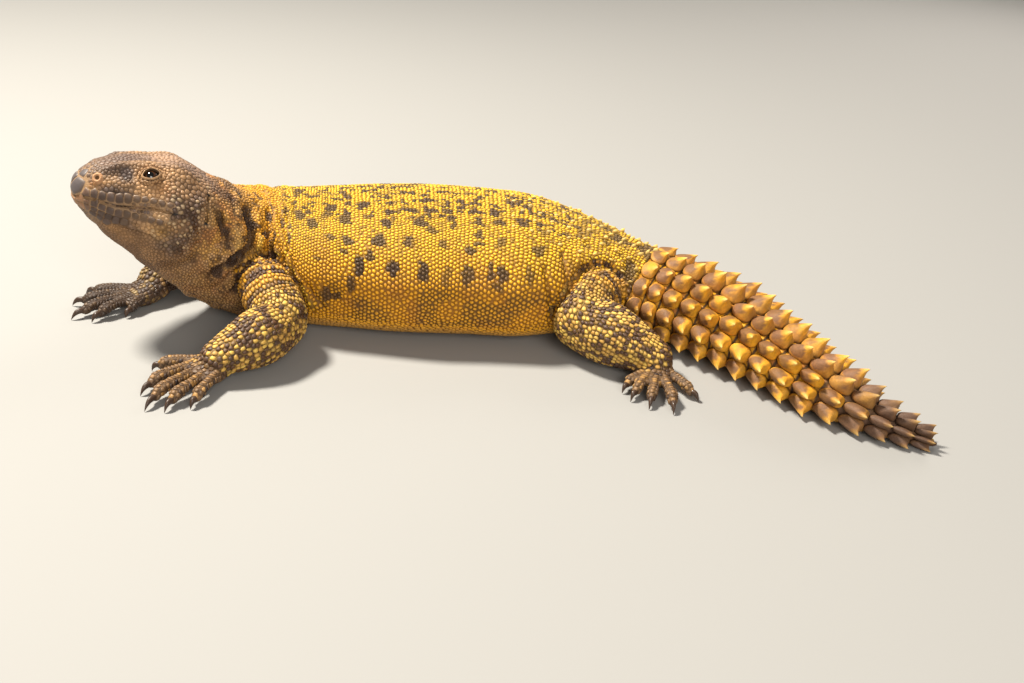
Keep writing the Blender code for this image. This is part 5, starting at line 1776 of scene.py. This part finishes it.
def make_eye(eye):
    """An eyeball with a raised cornea, a dark iris and a darker pupil."""
    rings, sides = 48, 64
    polar = np.linspace(0.001, math.pi - 0.001, rings)
    turn = np.arange(sides) * math.tau / sides
    gaze = unit(eye.out - 0.12 * eye.rearward + np.array([0, 0, -0.1]))
    first = unit(np.cross(gaze, (0, 0, 1)))
    second = np.cross(first, gaze)
    cornea = 0.35 * np.exp(-((polar / 0.55) ** 2))
    reach = (EYE_RADIUS - 0.12) * (1 + cornea / EYE_RADIUS)
    ring = np.cos(polar)[:, None, None] * gaze + np.sin(polar)[:, None, None] * (
        np.cos(turn)[None, :, None] * first + np.sin(turn)[None, :, None] * second
    )
    points = (eye.centre + ring * reach[:, None, None]).reshape(-1, 3)
    faces = ring_faces(rings, sides)
    ends = [np.arange(sides)[::-1][None], np.arange((rings - 1) * sides, rings * sides)[None]]
    obj = make_mesh(f"eyeball_{eye.side}", points, [faces, np.concatenate(ends)])
    across = np.repeat(polar, sides) * EYE_RADIUS
    place = np.stack([np.tile(np.cos(turn), rings) * 6, np.tile(np.sin(turn), rings) * 6, across], -1)
    streak = noise(place, 0.7)
    colour = mix(light(66, 40, 24), light(34, 21, 14), streak)
    colour = mix(colour, light(96, 60, 32), np.exp(-(((across - 1.5) / 0.12) ** 2)) * 0.5)
    colour = mix(colour, light(6, 5, 5), 1 - ease(across, 1.25, 1.4))
    colour = mix(colour, light(24, 16, 12), ease(across, 2.2, 2.6))
    paint_mesh(obj.data, colour)
    smooth(obj)
    made = Finish(f"wet_eye_{eye.side}", IOR=1.4, Roughness=0.06)
    made.set("Base Color", made.paint())
    made.set("Coat Weight", 0.6)
    obj.data.materials.append(made.material)
    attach(obj, "root")
    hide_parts(f"eye_{eye.side}")


for one_eye in EYES:
    make_eye(one_eye)


# The floor, lights and camera.
def stage_floor():
    """A wide pale floor."""
    reach = 3000
    points = np.array([(-reach, -reach, 0), (reach, -reach, 0), (reach, reach, 0), (-reach, reach, 0)], float)
    floor = make_mesh("floor", points, [np.array([[0, 1, 2, 3]])])
    made = Finish("pale_floor", Roughness=0.8)
    made.set("Base Color", (0.31, 0.305, 0.295, 1))
    floor.data.materials.append(made.material)


def soft_light(name, place, target, size, power, colour):
    """A round lamp that faces its target."""
    data = bpy.data.lights.new(name, "AREA")
    data.shape = "DISK"
    data.size, data.energy, data.color = size, power, colour
    lamp = bpy.data.objects.new(name, data)
    lamp.location = place
    lamp.rotation_euler = (Vector(target) - Vector(place)).to_track_quat("-Z", "Y").to_euler()
    bpy.context.scene.collection.objects.link(lamp)


SENSOR_WIDTH = 36
FOCAL = SENSOR_WIDTH * 1050 / 1024  # as many millimetres as give the photo its perspective


def photo_camera(place, azimuth, elevation, roll, focal):
    """A camera that looks down by the elevation, from the azimuth, rolled by degrees."""
    a, e, r = (math.radians(v) for v in (azimuth, elevation, roll))
    back = Vector((math.sin(a) * math.cos(e), -math.cos(a) * math.cos(e), math.sin(e)))
    across = (-back).cross(Vector((0, 0, 1))).normalized()
    up = across.cross(-back)
    right_way = across * math.cos(r) + up * math.sin(r)
    up_way = up * math.cos(r) - across * math.sin(r)
    data = bpy.data.cameras.new("photo_camera")
    data.sensor_width = SENSOR_WIDTH
    data.lens = focal
    camera = bpy.data.objects.new("photo_camera", data)
    camera.matrix_world = Matrix.Translation(place) @ Matrix((right_way, up_way, back)).transposed().to_4x4()
    bpy.context.scene.collection.objects.link(camera)
    bpy.context.scene.camera = camera


stage_floor()
soft_light("key", (-0.5, 0.22, 1.0), (0, -0.02, 0.02), 0.2, 32, (1.0, 0.94, 0.83))
soft_light("fill", (0.1, -1.1, 0.6), (0, 0, 0.03), 0.7, 9, (1.0, 0.95, 0.88))
soft_light("rim", (0.9, 0.7, 0.6), (0, 0, 0.03), 0.6, 5, (1.0, 0.93, 0.85))
world = bpy.data.worlds.new("studio")
world.use_nodes = True
world.node_tree.nodes["Background"].inputs[0].default_value = (1.0, 0.97, 0.93, 1)
world.node_tree.nodes["Background"].inputs[1].default_value = 0.25
bpy.context.scene.world = world
bpy.context.scene.view_settings.view_transform = "Standard"
photo_camera((-0.0660, -0.4245, 0.2114), -14, 28, 5, FOCAL)
